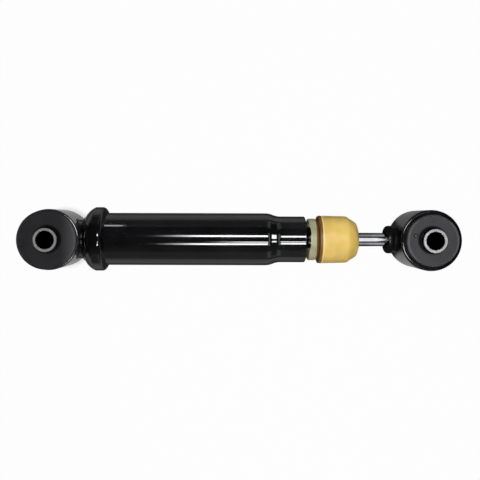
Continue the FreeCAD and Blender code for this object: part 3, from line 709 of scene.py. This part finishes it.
@dataclass(frozen=True)
class HardChrome(Finish):
    """Ground and chromed rod steel with faint grinding lines round its length."""

    chrome: Colour = srgb(226, 226, 232)
    smear: Colour = srgb(196, 196, 204)
    roughness: tuple = (0.03, 0.06)
    grain_scales: tuple = (700.0, 130.0)
    line_scales: tuple = (6000.0, 300.0, 300.0)
    line_depth: float = 0.0008 * MM

    def lay(self, sheet: Sheet) -> dict[str, Value]:
        """Lays out the chrome's smears and grinding lines."""
        place = sheet.place()
        grain = self.grain(sheet, place, *self.grain_scales)
        lines = sheet.vector("MULTIPLY", place, self.line_scales).outputs[0]
        ground = sheet.noise(lines, 1.0, detail=1.0)
        return {
            "Base Color": sheet.blend(grain["Tone"], self.chrome, self.smear),
            "Metallic": 1.0,
            "Roughness": sheet.between(grain["Tone"], *self.roughness),
            "Normal": sheet.bump(ground, self.line_depth),
        }


@dataclass(frozen=True)
class InnerMetal(Finish):
    """Bare metal of a piece held inside, turned about the long axis."""

    bright: Colour = srgb(176, 176, 176)
    dull: Colour = srgb(132, 132, 133)
    roughness: tuple = (0.34, 0.46)
    grain_scales: tuple = (1400.0, 90.0)
    depth: float = 0.008 * MM
    ring_pitch: float = 0.3 * MM
    ring_height: float = 0.7

    def lay(self, sheet: Sheet) -> dict[str, Value]:
        """Lays out the metal's tone, grain and turning rings."""
        place = sheet.place(turn=(0.0, math.pi / 2, 0.0))
        grain = self.grain(sheet, place, *self.grain_scales)
        rings = self.rings(sheet, place, self.ring_pitch)
        height = sheet.math("ADD", grain["Height"], sheet.times(rings, self.ring_height))
        return {
            "Base Color": sheet.blend(grain["Tone"], self.bright, self.dull),
            "Metallic": 1.0,
            "Roughness": sheet.between(grain["Tone"], *self.roughness),
            "Normal": sheet.bump(height, self.depth),
        }


@dataclass(frozen=True)
class InnerPolymer(Finish):
    """Rubber or plastic of a seal or band held inside."""

    dark: Colour = srgb(28, 28, 29)
    light: Colour = srgb(46, 46, 48)
    roughness: tuple = (0.5, 0.7)
    grain_scales: tuple = (1800.0, 120.0)
    grain_depth: float = 0.015 * MM

    def lay(self, sheet: Sheet) -> dict[str, Value]:
        """Lays out the tone and grain."""
        grain = self.grain(sheet, sheet.place(), *self.grain_scales)
        return {
            "Base Color": sheet.blend(grain["Tone"], self.dark, self.light),
            "Roughness": sheet.between(grain["Tone"], *self.roughness),
            "Normal": sheet.bump(grain["Height"], self.grain_depth),
        }


def dress(finish: Finish, *names: str) -> None:
    """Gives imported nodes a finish.

    Args:
        finish: The finish to give.
        names: The nodes that take it.
    """
    for name in names:
        for material_slot in NODES[name].material_slots:
            material_slot.link = "OBJECT"
            material_slot.material = finish.material()
        log.info("node %s: %s", name, finish.name)


def place_piece(mesh: bmesh.types.BMesh, name: str, finish: Finish, body: Body,
                crease: float = math.pi) -> bpy.types.Object:
    """Closes a mesh, makes it a piece of the damper and lets it ride on its body.

    Args:
        mesh: The finished mesh, which is used up.
        name: The piece's name.
        finish: The piece's finish.
        body: The body that carries it.
        crease: Edges that turn by more than this angle stay sharp.

    Returns:
        The new object.
    """
    bmesh.ops.remove_doubles(mesh, verts=mesh.verts[:], dist=MERGE)
    bmesh.ops.recalc_face_normals(mesh, faces=mesh.faces[:])
    data = bpy.data.meshes.new(name)
    mesh.to_mesh(data)
    mesh.free()
    data.shade_smooth()
    data.set_sharp_from_angle(angle=crease)
    data.materials.append(finish.material())
    piece = bpy.data.objects.new(name, data)
    bpy.context.scene.collection.objects.link(piece)
    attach(piece, body.value)
    log.info("piece %s: %d faces on %s", name, len(data.polygons), body.value)
    return piece


def copy_node(name: str) -> bmesh.types.BMesh:
    """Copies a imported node's mesh, with its loose triangles joined.

    Args:
        name: The node.

    Returns:
        The copy.
    """
    mesh = bmesh.new()
    mesh.from_mesh(NODES[name].data)
    bmesh.ops.remove_doubles(mesh, verts=mesh.verts[:], dist=MERGE)
    return mesh


@dataclass
class Eye:
    """One end of the damper: its ring, its bonded rubber bush and its bolt sleeve."""

    name: str
    mount: str
    neck_side: Side
    rubber_tones: tuple[Colour, Colour]
    steel_tones: tuple[Colour, Colour]
    sheen_share: float = 0.0
    edge_share: float = 0.0
    shade_spot: tuple = ()
    # halo_lean and halo_far move the ring of painted shade round the sleeve
    halo_lean: float = 1.2 * MM
    halo_far: float = 0.5 * MM
    centre: Vector = field(init=False)
    radius: float = field(init=False)
    face: float = field(init=False)

    def __post_init__(self) -> None:
        """Reads the eye's centre, radius and rubber face from the frame."""
        mounts = {mount["name"]: mount for mount in frame["record"]["mounts"]}
        self.centre = Vector(mounts[self.mount]["pos_m"])
        self.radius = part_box(f"{self.name}_eye_ring")[1].y - self.centre.y
        self.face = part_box(f"{self.name}_bush_rubber")[1].z

    def dress(self, paint: Finish) -> None:
        """Gives the ring, rubber and sleeve their finishes.

        Args:
            paint: The paint of the ring.
        """
        centre = tuple(self.centre)
        dress(paint, f"{self.name}_eye_ring")
        rubber = f"{self.name}_bush_rubber"
        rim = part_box(rubber)[1].y - self.centre.y
        shift = (self.neck_side.value * self.halo_lean, self.halo_far, 0.0)
        dress(BushRubber(f"{self.name}_rubber", centre, rim, *self.rubber_tones, halo_shift=shift,
                         sheen_share=self.sheen_share, edge_share=self.edge_share, shade_spot=self.shade_spot), rubber)
        sleeve = f"{self.name}_bush_sleeve"
        dress(SleeveSteel(f"{self.name}_sleeve", centre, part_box(sleeve)[1].z, *self.steel_tones), sleeve)


class Seam(ABC):
    """A line round the long axis that a weld follows."""

    @abstractmethod
    def at(self, turn: float) -> Vector:
        """Gives the line's point at a turn, in radians from Y towards Z."""


@dataclass
class FlatSeam(Seam):
    """A plain ring across the long axis."""

    station: float
    radius: float

    def at(self, turn: float) -> Vector:
        """Gives the ring's point at a turn, in radians from Y towards Z."""
        return Vector((self.station, self.radius * math.cos(turn), self.radius * math.sin(turn)))


@dataclass
class EyeSeam(Seam):
    """The line where a neck meets its eye ring."""

    neck: bpy.types.Object
    eye: Eye
    slack: float = 0.05 * MM
    shares: int = 72
    turns: list[float] = field(init=False)
    reaches: list[float] = field(init=False)

    def __post_init__(self) -> None:
        """Finds how far out the neck touches the ring at each share of a turn."""
        reach: dict[int, float] = {}
        for vertex in self.neck.data.vertices:
            point = vertex.co - self.eye.centre
            if abs(math.hypot(point.x, point.y) - self.eye.radius) < self.slack:
                share = round(self.shares * math.atan2(point.z, point.y) / (2 * math.pi)) % self.shares
                reach[share] = max(reach.get(share, 0.0), math.hypot(point.y, point.z))
        self.turns = [2 * math.pi * share / self.shares for share in reach]
        self.reaches = list(reach.values())

    def at(self, turn: float) -> Vector:
        """Gives the seam's point at a turn, in radians from Y towards Z."""
        reach = float(np.interp(turn, self.turns, self.reaches, period=2 * math.pi))
        across = reach * math.cos(turn)
        along = self.eye.neck_side.value * math.sqrt(max(self.eye.radius ** 2 - across ** 2, 0.0))
        return self.eye.centre + Vector((along, across, reach * math.sin(turn)))


@dataclass
class WeldBead:
    """A rippled bead of weld along a seam.

    Each part of its wander is a slow swell: waves per turn, where it starts, and its share of the wire.
    """

    name: str
    body: Body
    seam: Seam
    wire: float
    ripples: int = 44
    ripple_steps: int = 8
    segments: int = 16
    depth: float = 0.1
    lag: float = 0.35
    ring: float = 10.0 * MM
    wander: tuple = ((3, 0.7, 0.06), (7, 0.0, 0.04))

    def build(self, finish: Finish) -> None:
        """Spins a plain ring of wire and settles it on the seam.

        Args:
            finish: The paint over the bead.
        """
        mesh = bmesh.new()
        bmesh.ops.create_circle(mesh, radius=self.wire, segments=self.segments)
        bmesh.ops.translate(mesh, verts=mesh.verts[:], vec=(0.0, self.ring, 0.0))
        bmesh.ops.spin(mesh, geom=mesh.verts[:] + mesh.edges[:], cent=(0.0, 0.0, 0.0), axis=(1.0, 0.0, 0.0),
                       angle=2 * math.pi, steps=self.ripples * self.ripple_steps, use_merge=True)
        for vertex in mesh.verts:
            vertex.co = self.settle(vertex.co)
        place_piece(mesh, self.name, finish, self.body)

    def settle(self, point: Vector) -> Vector:
        """Ripples one point of the plain ring and lays it on the seam.

        Args:
            point: The point on the plain ring.

        Returns:
            The point on the weld.
        """
        turn = math.atan2(point.z, point.y)
        offset = point - Vector((0.0, self.ring * math.cos(turn), self.ring * math.sin(turn)))
        phase = self.ripples * turn / (2 * math.pi) + self.lag * (offset.x / self.wire) ** 2
        crest = abs(math.sin(math.pi * phase))
        wander = sum(share * math.sin(waves * turn + start) for waves, start, share in self.wander)
        return self.seam.at(turn) + offset * (1.0 - self.depth + self.depth * crest + wander)


@dataclass
class BaseEnd:
    """The base eye with its welded neck and the tube's pressed cap."""

    neck_bead: float = 0.6 * MM
    cap_bead: float = 0.5 * MM
    # painted shade: the base eye's rubber and sleeve are darker copies of the rod eye's, for the weaker
    # light on this end
    rubber: tuple[Colour, Colour] = (srgb(43, 43, 45), srgb(54, 54, 57))
    # share of painted sheen on the base eye's rubber, lighter towards the tube
    rubber_sheen: float = 0.75
    # a faint painted highlight along the base eye's rubber rim, with rubbed edges
    rubber_edge: float = 0.15
    steel: tuple[Colour, Colour] = (srgb(182, 181, 180), srgb(158, 157, 156))

    def build(self, paint: Finish, seam_paint: Finish) -> None:
        """Dresses the base and welds its neck to the eye and to the cap.

        Args:
            paint: The paint of the base.
            seam_paint: The paint over its welds.
        """
        eye = Eye("lower", "lower_eye_bore", Side.FORWARD, self.rubber, self.steel,
                  sheen_share=self.rubber_sheen, edge_share=self.rubber_edge)
        eye.dress(paint)
        dress(paint, "lower_eye_stub", "base_cap")
        eye_seam = EyeSeam(NODES["lower_eye_stub"], eye)
        cap_seam = FlatSeam(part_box("base_cap")[0].x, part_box("lower_eye_stub")[1].z)
        WeldBead("neck_eye_weld", Body.CYLINDER, eye_seam, self.neck_bead).build(seam_paint)
        WeldBead("neck_cap_weld", Body.CYLINDER, cap_seam, self.cap_bead).build(seam_paint)


@dataclass
class StopForm:
    """The bump stop as cast: its packed form with a blunter nose, a soft shoulder and a lip on its foot."""

    nose_from: float = 31.0 * MM
    nose_cut: float = 1.5 * MM
    shoulder: float = 26.0 * MM
    shoulder_spread: float = 2.0 * MM
    shoulder_trim: float = 0.4 * MM
    wall_radius: float = 8.45 * MM
    lip_radius: float = 16.9 * MM
    lip_rise: float = 1.0 * MM
    lip_length: float = 3.0 * MM
    lip: float = 0.8 * MM

    def build(self, finish: Finish) -> None:
        """Puts a re-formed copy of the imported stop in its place.

        Args:
            finish: The stop's urethane.
        """
        low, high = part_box("bump_stop")
        mesh = copy_node("bump_stop")
        for vertex in mesh.verts:
            vertex.co = self.form(vertex.co, low.x, high.x - low.x)
        piece = place_piece(mesh, "bump_stop_cast", finish, Body.CYLINDER, CREASE)
        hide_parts("bump_stop")

    def form(self, point: Vector, foot: float, length: float) -> Vector:
        """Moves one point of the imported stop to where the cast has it.

        Args:
            point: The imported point.
            foot: Where the stop's foot lies along X.
            length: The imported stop's length.

        Returns:
            The cast point.
        """
        along = point.x - foot
        reach = math.hypot(point.y, point.z)
        trim = 0.0
        if reach > self.wall_radius:
            trim = self.shoulder_trim * math.exp(-((along - self.shoulder) / self.shoulder_spread) ** 2)
        if along < self.lip_length:
            along -= self.lip * min(max((reach - self.lip_radius) / self.lip_rise, 0.0), 1.0)
        if along > self.nose_from:
            nose = length - self.nose_from
            along = self.nose_from + (along - self.nose_from) * (nose - self.nose_cut) / nose
        share = (reach - trim) / reach
        return Vector((foot + along, share * point.y, share * point.z))


@dataclass
class TubeHead:
    """The outer tube with the seat and bump stop on its head."""

    def build(self, paint: Finish) -> None:
        """Dresses the tube, seat and stop.

        Args:
            paint: The paint of the tube.
        """
        dress(paint, "reserve_tube")
        tube_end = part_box("reserve_tube")[1].x
        stop_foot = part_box("bump_stop")[0].x
        dress(SeatPlastic("seat_plastic", tube_end, stop_foot), "stop_seat")
        StopForm().build(StopUrethane("stop_urethane", stop_foot))


@dataclass
class CollarForm:
    """The rod collar as upset: its packed form with the flare at the eye drawn in."""

    neck_start: float = 6.1 * MM
    neck_radius: float = 9.8 * MM
    flare_keep: float = 0.1
    seat_gap: float = 0.02 * MM

    def build(self, eye: Eye, finish: Finish) -> bpy.types.Object:
        """Puts a re-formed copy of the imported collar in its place.

        Args:
            eye: The rod eye.
            finish: The collar's paint.

        Returns:
            The collar.
        """
        flare_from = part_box("rod_collar")[0].x + self.neck_start
        mesh = copy_node("rod_collar")
        for vertex in mesh.verts:
            if vertex.co.x > flare_from:
                vertex.co = self.draw_in(vertex.co, eye)
        piece = place_piece(mesh, "rod_collar_upset", finish, Body.ROD, CREASE)
        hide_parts("rod_collar")
        return piece

    def draw_in(self, point: Vector, eye: Eye) -> Vector:
        """Draws one point of the flare in towards the neck, and keeps it outside the ring.

        Args:
            point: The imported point.
            eye: The rod eye.

        Returns:
            The upset point.
        """
        reach = math.hypot(point.y, point.z)
        flare = max(reach - self.neck_radius, 0.0)
        share = (reach - (1.0 - self.flare_keep) * flare) / reach
        across = share * point.y
        ring = eye.centre.x - math.sqrt((eye.radius + self.seat_gap) ** 2 - across ** 2)
        return Vector((min(point.x, ring), across, share * point.z))


@dataclass
class RodEnd:
    """The chromed rod with its collar, welded to the rod eye."""

    bead: float = 0.4 * MM
    bead_ripples: int = 36
    # painted light: the rod eye's rubber and sleeve are lighter copies of the base eye's, for the stronger
    # light on this end
    rubber: tuple[Colour, Colour] = (srgb(74, 74, 77), srgb(86, 86, 89))
    # a strong painted highlight along the rod eye's rubber rim, with rubbed edges
    rubber_edge: float = 0.85
    steel: tuple[Colour, Colour] = (srgb(222, 221, 220), srgb(196, 195, 194))
    # painted highlight: the pip's rubber is lighter than the bush's, so it shows as a bright dot
    pip_lit_tones: tuple[Colour, Colour] = (srgb(110, 110, 113), srgb(126, 126, 129))
    pip_radius: float = 0.9 * MM
    pip_squat: float = 0.9
    pip_segments: tuple[int, int] = (24, 12)
    pip_gloss: float = 0.8
    pip_roughness: float = 0.2
    pip_place: tuple = (-13.9 * MM, 4.0 * MM)

    def build(self, paint: Finish, collar_paint: Finish) -> None:
        """Dresses the rod end, welds its collar to the eye and leaves the moulding pip on the rubber.

        Args:
            paint: The paint of the eye.
            collar_paint: The paint over the collar and its weld.
        """
        # the spot is a ring of painted shade round the moulding pip
        eye = Eye("upper", "upper_eye_bore", Side.BACKWARD, self.rubber, self.steel,
                  edge_share=self.rubber_edge, shade_spot=(*self.pip_place, 0.0))
        eye.dress(paint)
        dress(HardChrome("rod_chrome"), "piston_rod")
        seam = EyeSeam(CollarForm().build(eye, collar_paint), eye)
        WeldBead("collar_eye_weld", Body.ROD, seam, self.bead, self.bead_ripples).build(collar_paint)
        self.pip(eye)

    def pip(self, eye: Eye) -> None:
        """Leaves a moulding pip on the rubber's upper face.

        Args:
            eye: The rod eye.
        """
        mesh = bmesh.new()
        around, over = self.pip_segments
        bmesh.ops.create_uvsphere(mesh, u_segments=around, v_segments=over, radius=self.pip_radius)
        bmesh.ops.scale(mesh, vec=(1.0, 1.0, self.pip_squat), verts=mesh.verts[:])
        place = eye.centre + Vector((*self.pip_place, eye.face))
        bmesh.ops.translate(mesh, vec=place, verts=mesh.verts[:])
        glossy = BushRubber("pip_rubber", tuple(eye.centre), eye.radius, *self.pip_lit_tones,
                            gloss=self.pip_gloss, roughness=self.pip_roughness)
        place_piece(mesh, "upper_rubber_pip", glossy, Body.ROD)


@dataclass
class StarSpring:
    """A check plate's star spring, copied in place of its imported node."""

    node: str
    body: Body
    joint: str

    def build(self, finish: Finish) -> None:
        """Puts a copy of the spring in its place and hides the imported node.

        Args:
            finish: The spring's steel.
        """
        mesh = copy_node(self.node)
        piece = place_piece(mesh, f"{self.node}_leaves", finish, self.body, CREASE)
        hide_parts(self.node)
        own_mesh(piece)


@dataclass
class InnerWorks:
    """The pieces held inside the tube: pressure tube, valves, piston, guide and seals."""

    steel_nodes: tuple = (
        "pressure_tube", "foot_disc_1", "foot_disc_2", "foot_disc_3", "foot_valve_pin", "foot_valve_nut",
        "foot_check_plate", "seal_spring", "seal_cover", "rebound_stop_ring", "piston_stop_plate",
        "piston_check_plate", "rebound_disc_1", "rebound_disc_2", "rebound_disc_3", "rebound_washer",
        "piston_nut",
    )
    iron_nodes: tuple = ("foot_valve_body", "rod_guide", "piston_body")
    rubber_nodes: tuple = ("guide_o_ring", "rod_seal", "dust_wiper", "rebound_buffer")

    def build(self) -> None:
        """Dresses the inner pieces, and puts copies of the star springs in place."""
        steel = InnerMetal("inner_steel")
        dress(steel, *self.steel_nodes)
        StarSpring("piston_check_spring", Body.ROD, "piston_valve_lift").build(steel)
        StarSpring("foot_check_spring", Body.CYLINDER, "foot_valve_lift").build(steel)
        iron = InnerMetal("sintered_iron", srgb(112, 112, 114), srgb(84, 84, 86), roughness=(0.5, 0.62),
                          grain_scales=(2600.0, 90.0), depth=0.02 * MM)
        dress(iron, *self.iron_nodes)
        bronze = InnerMetal("bush_bronze", srgb(190, 154, 96), srgb(150, 116, 66), roughness=(0.3, 0.42))
        dress(bronze, "guide_bush")
        dress(InnerPolymer("seal_rubber"), *self.rubber_nodes)
        dress(InnerPolymer("band_plastic", srgb(70, 96, 84), srgb(88, 116, 102)), "piston_band")


class Lean(Enum):
    """Rows of lamps, by how far they lean from straight above the long axis."""

    FAR = math.radians(14.8)
    MIDDLE = math.radians(-10.6)
    NEAR = math.radians(-19.3)
    SIDE = math.radians(60.7)
    FAR_STOP = math.radians(72.0)
    NEAR_STOP = math.radians(-72.0)
    FAR_RIM = math.radians(27.0)
    NEAR_RIM = math.radians(-36.0)
    NONE = 0.0


@dataclass
class StripLight:
    """A narrow lamp along the damper that shows as a bright line on the paint."""

    name: str
    lean: Lean
    start: float
    end: float
    width: float
    radiance: float
    height: float = 0.5
    shines: bool = True
    only: tuple = ()

    def build(self) -> None:
        """Hangs the lamp so that it faces the damper's axis."""
        lamp = bpy.data.lights.new(self.name, "AREA")
        lamp.shape = "RECTANGLE"
        lamp.size = self.end - self.start
        lamp.size_y = self.width
        lamp.energy = self.radiance * math.pi * lamp.size * lamp.size_y
        holder = bpy.data.objects.new(self.name, lamp)
        along = (self.start + self.end) / 2
        holder.location = (along, self.height * math.tan(self.lean.value), self.height)
        holder.rotation_euler = (-self.lean.value, 0.0, 0.0)
        holder.visible_glossy = self.shines
        if self.only:
            lit = bpy.data.collections.new(f"{self.name}_lit")
            for name in self.only:
                lit.objects.link(bpy.data.objects[name])
            holder.light_linking.receiver_collection = lit
        bpy.context.scene.collection.objects.link(holder)


@dataclass
class Studio:
    """A pale floor in dark air, rows of strip lamps and a camera straight above the damper.

    Each fade, gap, half and change is a pair: where it starts and where it ends.
    """

    row_end: float = 0.289
    next_row: tuple = (0.545, 0.745)
    tail_lamps: int = 6
    floor_half: float = 3.0
    pale: Colour = (0.5, 0.5, 0.5)
    glow: float = 0.98
    contact: float = 0.006
    mirror_glow: float = 0.42
    mirror_shade: float = 0.05
    rod_off_aim: float = 0.131
    rod_gap: tuple = (0.022, 0.034)
    beside_fade: tuple = (0.035, 0.095)
    far_fade: tuple = (0.15, 0.6)
    far_share: float = 0.4
    base_fade: tuple = (-0.13, -0.105)
    collar_fade: tuple = (0.106, 0.122)
    collar_half: tuple = (0.017, 0.022)
    side_change: tuple = (-0.01, 0.01)
    far_side_share: float = 0.56
    under_half: tuple = (0.03, 0.045)
    wall: float = 0.1
    end_wall: float = 0.4
    ceiling: float = 0.02
    near_wall: float = 0.07
    backdrop: float = 0.2
    behind_fade: tuple = (-0.4, -0.1)
    rod_side_fade: tuple = (0.12, 0.24)
    end_fade: tuple = (0.36, 0.5)
    ceiling_fade: tuple = (0.52, 0.58)
    near_fade: tuple = (-0.9, -0.3)
    horizon_fade: tuple = (0.0, 0.06)
    lens: float = 46.55
    sensor: float = 36.0
    camera_height: float = 0.507
    camera_place: tuple = (0.143, 0.0165)
    aim: tuple = (0.1503, -0.00068)
    camera_roll: float = math.radians(0.16)

    def build(self) -> None:
        """Sets up the floor, air, lamps and camera."""
        self.lay_floor()
        self.fill_air()
        base_ring = ("lower_eye_ring",)
        tube = ("reserve_tube",)
        beside_stop = {"height": 0.2, "shines": False, "only": ("bump_stop_cast", "stop_seat")}
        for lamp in (
            *self.row("far_row", Lean.FAR, 0.011, 0.092, 0.062, 18.0),
            StripLight("far_row_next", Lean.FAR, *self.next_row, 0.18, 16.0, only=tube),
            *self.row("middle_row", Lean.MIDDLE, 0.089, 0.16, 0.032, 15.0),
            StripLight("middle_row_next", Lean.MIDDLE, *self.next_row, 0.06, 16.0, only=tube),
            *self.row("near_row", Lean.NEAR, 0.011, 0.092, 0.062, 18.0),
            StripLight("far_rim", Lean.FAR_RIM, 0.1, 0.6, 0.4, 16.0, only=base_ring),
            StripLight("near_rim", Lean.NEAR_RIM, 0.12, 0.36, 0.34, 16.0, only=base_ring),
            StripLight("rod_panel", Lean.NONE, 0.335, 0.392, 0.54, 1.2),
            StripLight("side_bar", Lean.SIDE, -0.052, -0.021, 0.05, 5.0, height=0.229, only=tube),
            StripLight("far_stop", Lean.FAR_STOP, 0.0, 0.5, 0.4, 1.7, **beside_stop),
            StripLight("near_stop", Lean.NEAR_STOP, 0.0, 0.5, 0.4, 2.4, **beside_stop),
            StripLight("fill", Lean.NONE, -0.5, 0.8, 1.2, 0.2, height=1.2, shines=False),
        ):
            lamp.build()
        self.set_camera()
        bpy.context.scene.view_settings.view_transform = "Standard"

    def row(self, name: str, lean: Lean, tail: float, start: float, width: float,
            radiance: float) -> list[StripLight]:
        """Makes a row of lamps whose start fades in.

        Args:
            name: The row's name.
            lean: The row's lean.
            tail: Where the fade starts along X.
            start: Where the full row starts.
            width: The row's width.
            radiance: The full row's radiance.

        Returns:
            The full row, and the lamps of its fade from the faintest.
        """
        lamps = [StripLight(name, lean, start, self.row_end, width, radiance)]
        step = (start - tail) / self.tail_lamps
        for index in range(self.tail_lamps):
            share = ((index + 0.5) / self.tail_lamps) ** 2
            near = tail + index * step
            label = f"{name}_tail_{index + 1}"
            lamps.append(StripLight(label, lean, near, near + step, width, share * radiance))
        return lamps

    def lay_floor(self) -> None:
        """Lays the floor under the sleeve ends, white to the eye and shaded near the damper."""
        mesh = bmesh.new()
        bmesh.ops.create_grid(mesh, x_segments=1, y_segments=1, size=self.floor_half)
        bmesh.ops.translate(mesh, vec=(0.0, 0.0, CAD_BOX[0].z), verts=mesh.verts[:])
        data = bpy.data.meshes.new("floor")
        mesh.to_mesh(data)
        mesh.free()
        material = bpy.data.materials.new("pale_floor")
        material.use_nodes = True
        sheet = Sheet(material.node_tree)
        path = sheet.add("ShaderNodeLightPath").outputs
        mirrored = sheet.math("MAXIMUM", path["Is Glossy Ray"], path["Is Transmission Ray"])
        near = sheet.add("ShaderNodeAmbientOcclusion", {"Distance": self.contact}, samples=8).outputs["AO"]
        seen = sheet.times(path["Is Camera Ray"], sheet.times(near, self.glow))
        faint = sheet.times(mirrored, self.floor_shine(sheet))
        lit = sheet.add("ShaderNodeBsdfDiffuse", {"Color": self.pale}).outputs[0]
        strength = sheet.math("ADD", path["Is Camera Ray"], faint)
        white = {"Color": (1.0, 1.0, 1.0), "Strength": strength}
        glowing = sheet.add("ShaderNodeEmission", white).outputs[0]
        share = sheet.math("ADD", seen, mirrored)
        mixed = sheet.add("ShaderNodeMixShader", {0: share, 1: lit, 2: glowing}).outputs[0]
        sheet.add("ShaderNodeOutputMaterial", {"Surface": mixed})
        data.materials.append(material)
        floor = bpy.data.objects.new("floor", data)
        bpy.context.scene.collection.objects.link(floor)

    def floor_shine(self, sheet: Sheet) -> bpy.types.NodeSocket:
        """Finds how bright the floor shows in the damper's reflections, set by place: a painted shadow
        below it, pale beside it and past its ends.

        Args:
            sheet: The sheet of the floor.

        Returns:
            The brightness.
        """
        along, across, _ = sheet.split(sheet.place((self.aim[0], 0.0, 0.0)))
        off_rod = sheet.math("ABSOLUTE", sheet.math("SUBTRACT", along, self.rod_off_aim))
        off_axis = sheet.math("ABSOLUTE", across)
        bright = sheet.ramp(off_rod, *self.rod_gap, 0.0, self.mirror_glow)
        far = sheet.times(bright, self.far_share)
        fading = sheet.ramp(off_axis, *self.far_fade, bright, far)
        # painted shadow of the damper on the floor, seen only in reflections
        beside = sheet.ramp(off_axis, *self.beside_fade, self.mirror_shade, fading)
        base_end = sheet.ramp(along, *self.base_fade, self.mirror_glow, 0.0)
        rod_end = sheet.ramp(along, *self.collar_fade, 0.0, self.mirror_glow)
        far_side = sheet.ramp(across, *self.side_change, 1.0, self.far_side_share)
        beside_collar = sheet.times(sheet.ramp(off_axis, *self.collar_half), far_side)
        off_collar = sheet.times(rod_end, beside_collar)
        under = sheet.ramp(off_axis, *self.under_half, 1.0, 0.0)
        beyond = sheet.times(sheet.math("MAXIMUM", base_end, off_collar), under)
        return sheet.math("MAXIMUM", beside, beyond)

    def fill_air(self) -> None:
        """Fills the air: white to the eye, and to the damper grey walls and a dark ceiling."""
        world = bpy.data.worlds.new("studio_air")
        world.use_nodes = True
        bpy.context.scene.world = world
        sheet = Sheet(world.node_tree)
        ahead, across, rise = sheet.split(sheet.add("ShaderNodeTexCoord").outputs["Generated"])
        behind = sheet.ramp(ahead, *self.behind_fade, self.ceiling, self.wall)
        rod_side = sheet.ramp(ahead, *self.rod_side_fade, behind, self.end_wall)
        around = sheet.ramp(ahead, *self.end_fade, rod_side, self.ceiling)
        walls = sheet.ramp(rise, *self.ceiling_fade, around, self.ceiling)
        nearness = sheet.ramp(across, *self.near_fade, self.near_wall, 0.0)
        level = sheet.math("ADD", walls, nearness)
        path = sheet.add("ShaderNodeLightPath").outputs
        mirrored = sheet.math("MAXIMUM", path["Is Glossy Ray"], path["Is Transmission Ray"])
        horizon = sheet.times(mirrored, sheet.ramp(rise, *self.horizon_fade, self.backdrop, 0.0))
        shown = sheet.math("MAXIMUM", sheet.math("MAXIMUM", level, horizon), path["Is Camera Ray"])
        white = {"Color": (1.0, 1.0, 1.0), "Strength": shown}
        air = sheet.add("ShaderNodeBackground", white).outputs[0]
        sheet.add("ShaderNodeOutputWorld", {"Surface": air})

    def set_camera(self) -> None:
        """Hangs the camera above the damper, looking straight down, and shifts the picture onto its aim."""
        data = bpy.data.cameras.new("camera")
        data.lens = self.lens
        data.sensor_width = self.sensor
        span = self.sensor * self.camera_height / self.lens
        data.shift_x = (self.aim[0] - self.camera_place[0]) / span
        data.shift_y = (self.aim[1] - self.camera_place[1]) / span
        camera = bpy.data.objects.new("camera", data)
        camera.location = (*self.camera_place, self.camera_height)
        camera.rotation_euler = (0.0, 0.0, self.camera_roll)
        bpy.context.scene.collection.objects.link(camera)
        bpy.context.scene.camera = camera


def main() -> None:
    """Dresses the damper from its base to its rod end, and sets up the studio."""
    logging.basicConfig(level=logging.INFO, format="%(name)s %(message)s")
    paint = GlossPaint("gloss_paint")
    seam_paint = GlossPaint("seam_paint", black=srgb(3, 3, 4), haze=srgb(8, 8, 9), peel=0.02 * MM,
                            dullness=0.16, index=1.4)
    BaseEnd().build(paint, seam_paint)
    TubeHead().build(paint)
    collar_paint = replace(seam_paint, name="collar_paint", dullness=0.3, index=1.3)
    RodEnd().build(GlossPaint("worn_paint", dullness=0.1), collar_paint)
    InnerWorks().build()
    Studio().build()


if __name__ == "__main__":
    main()
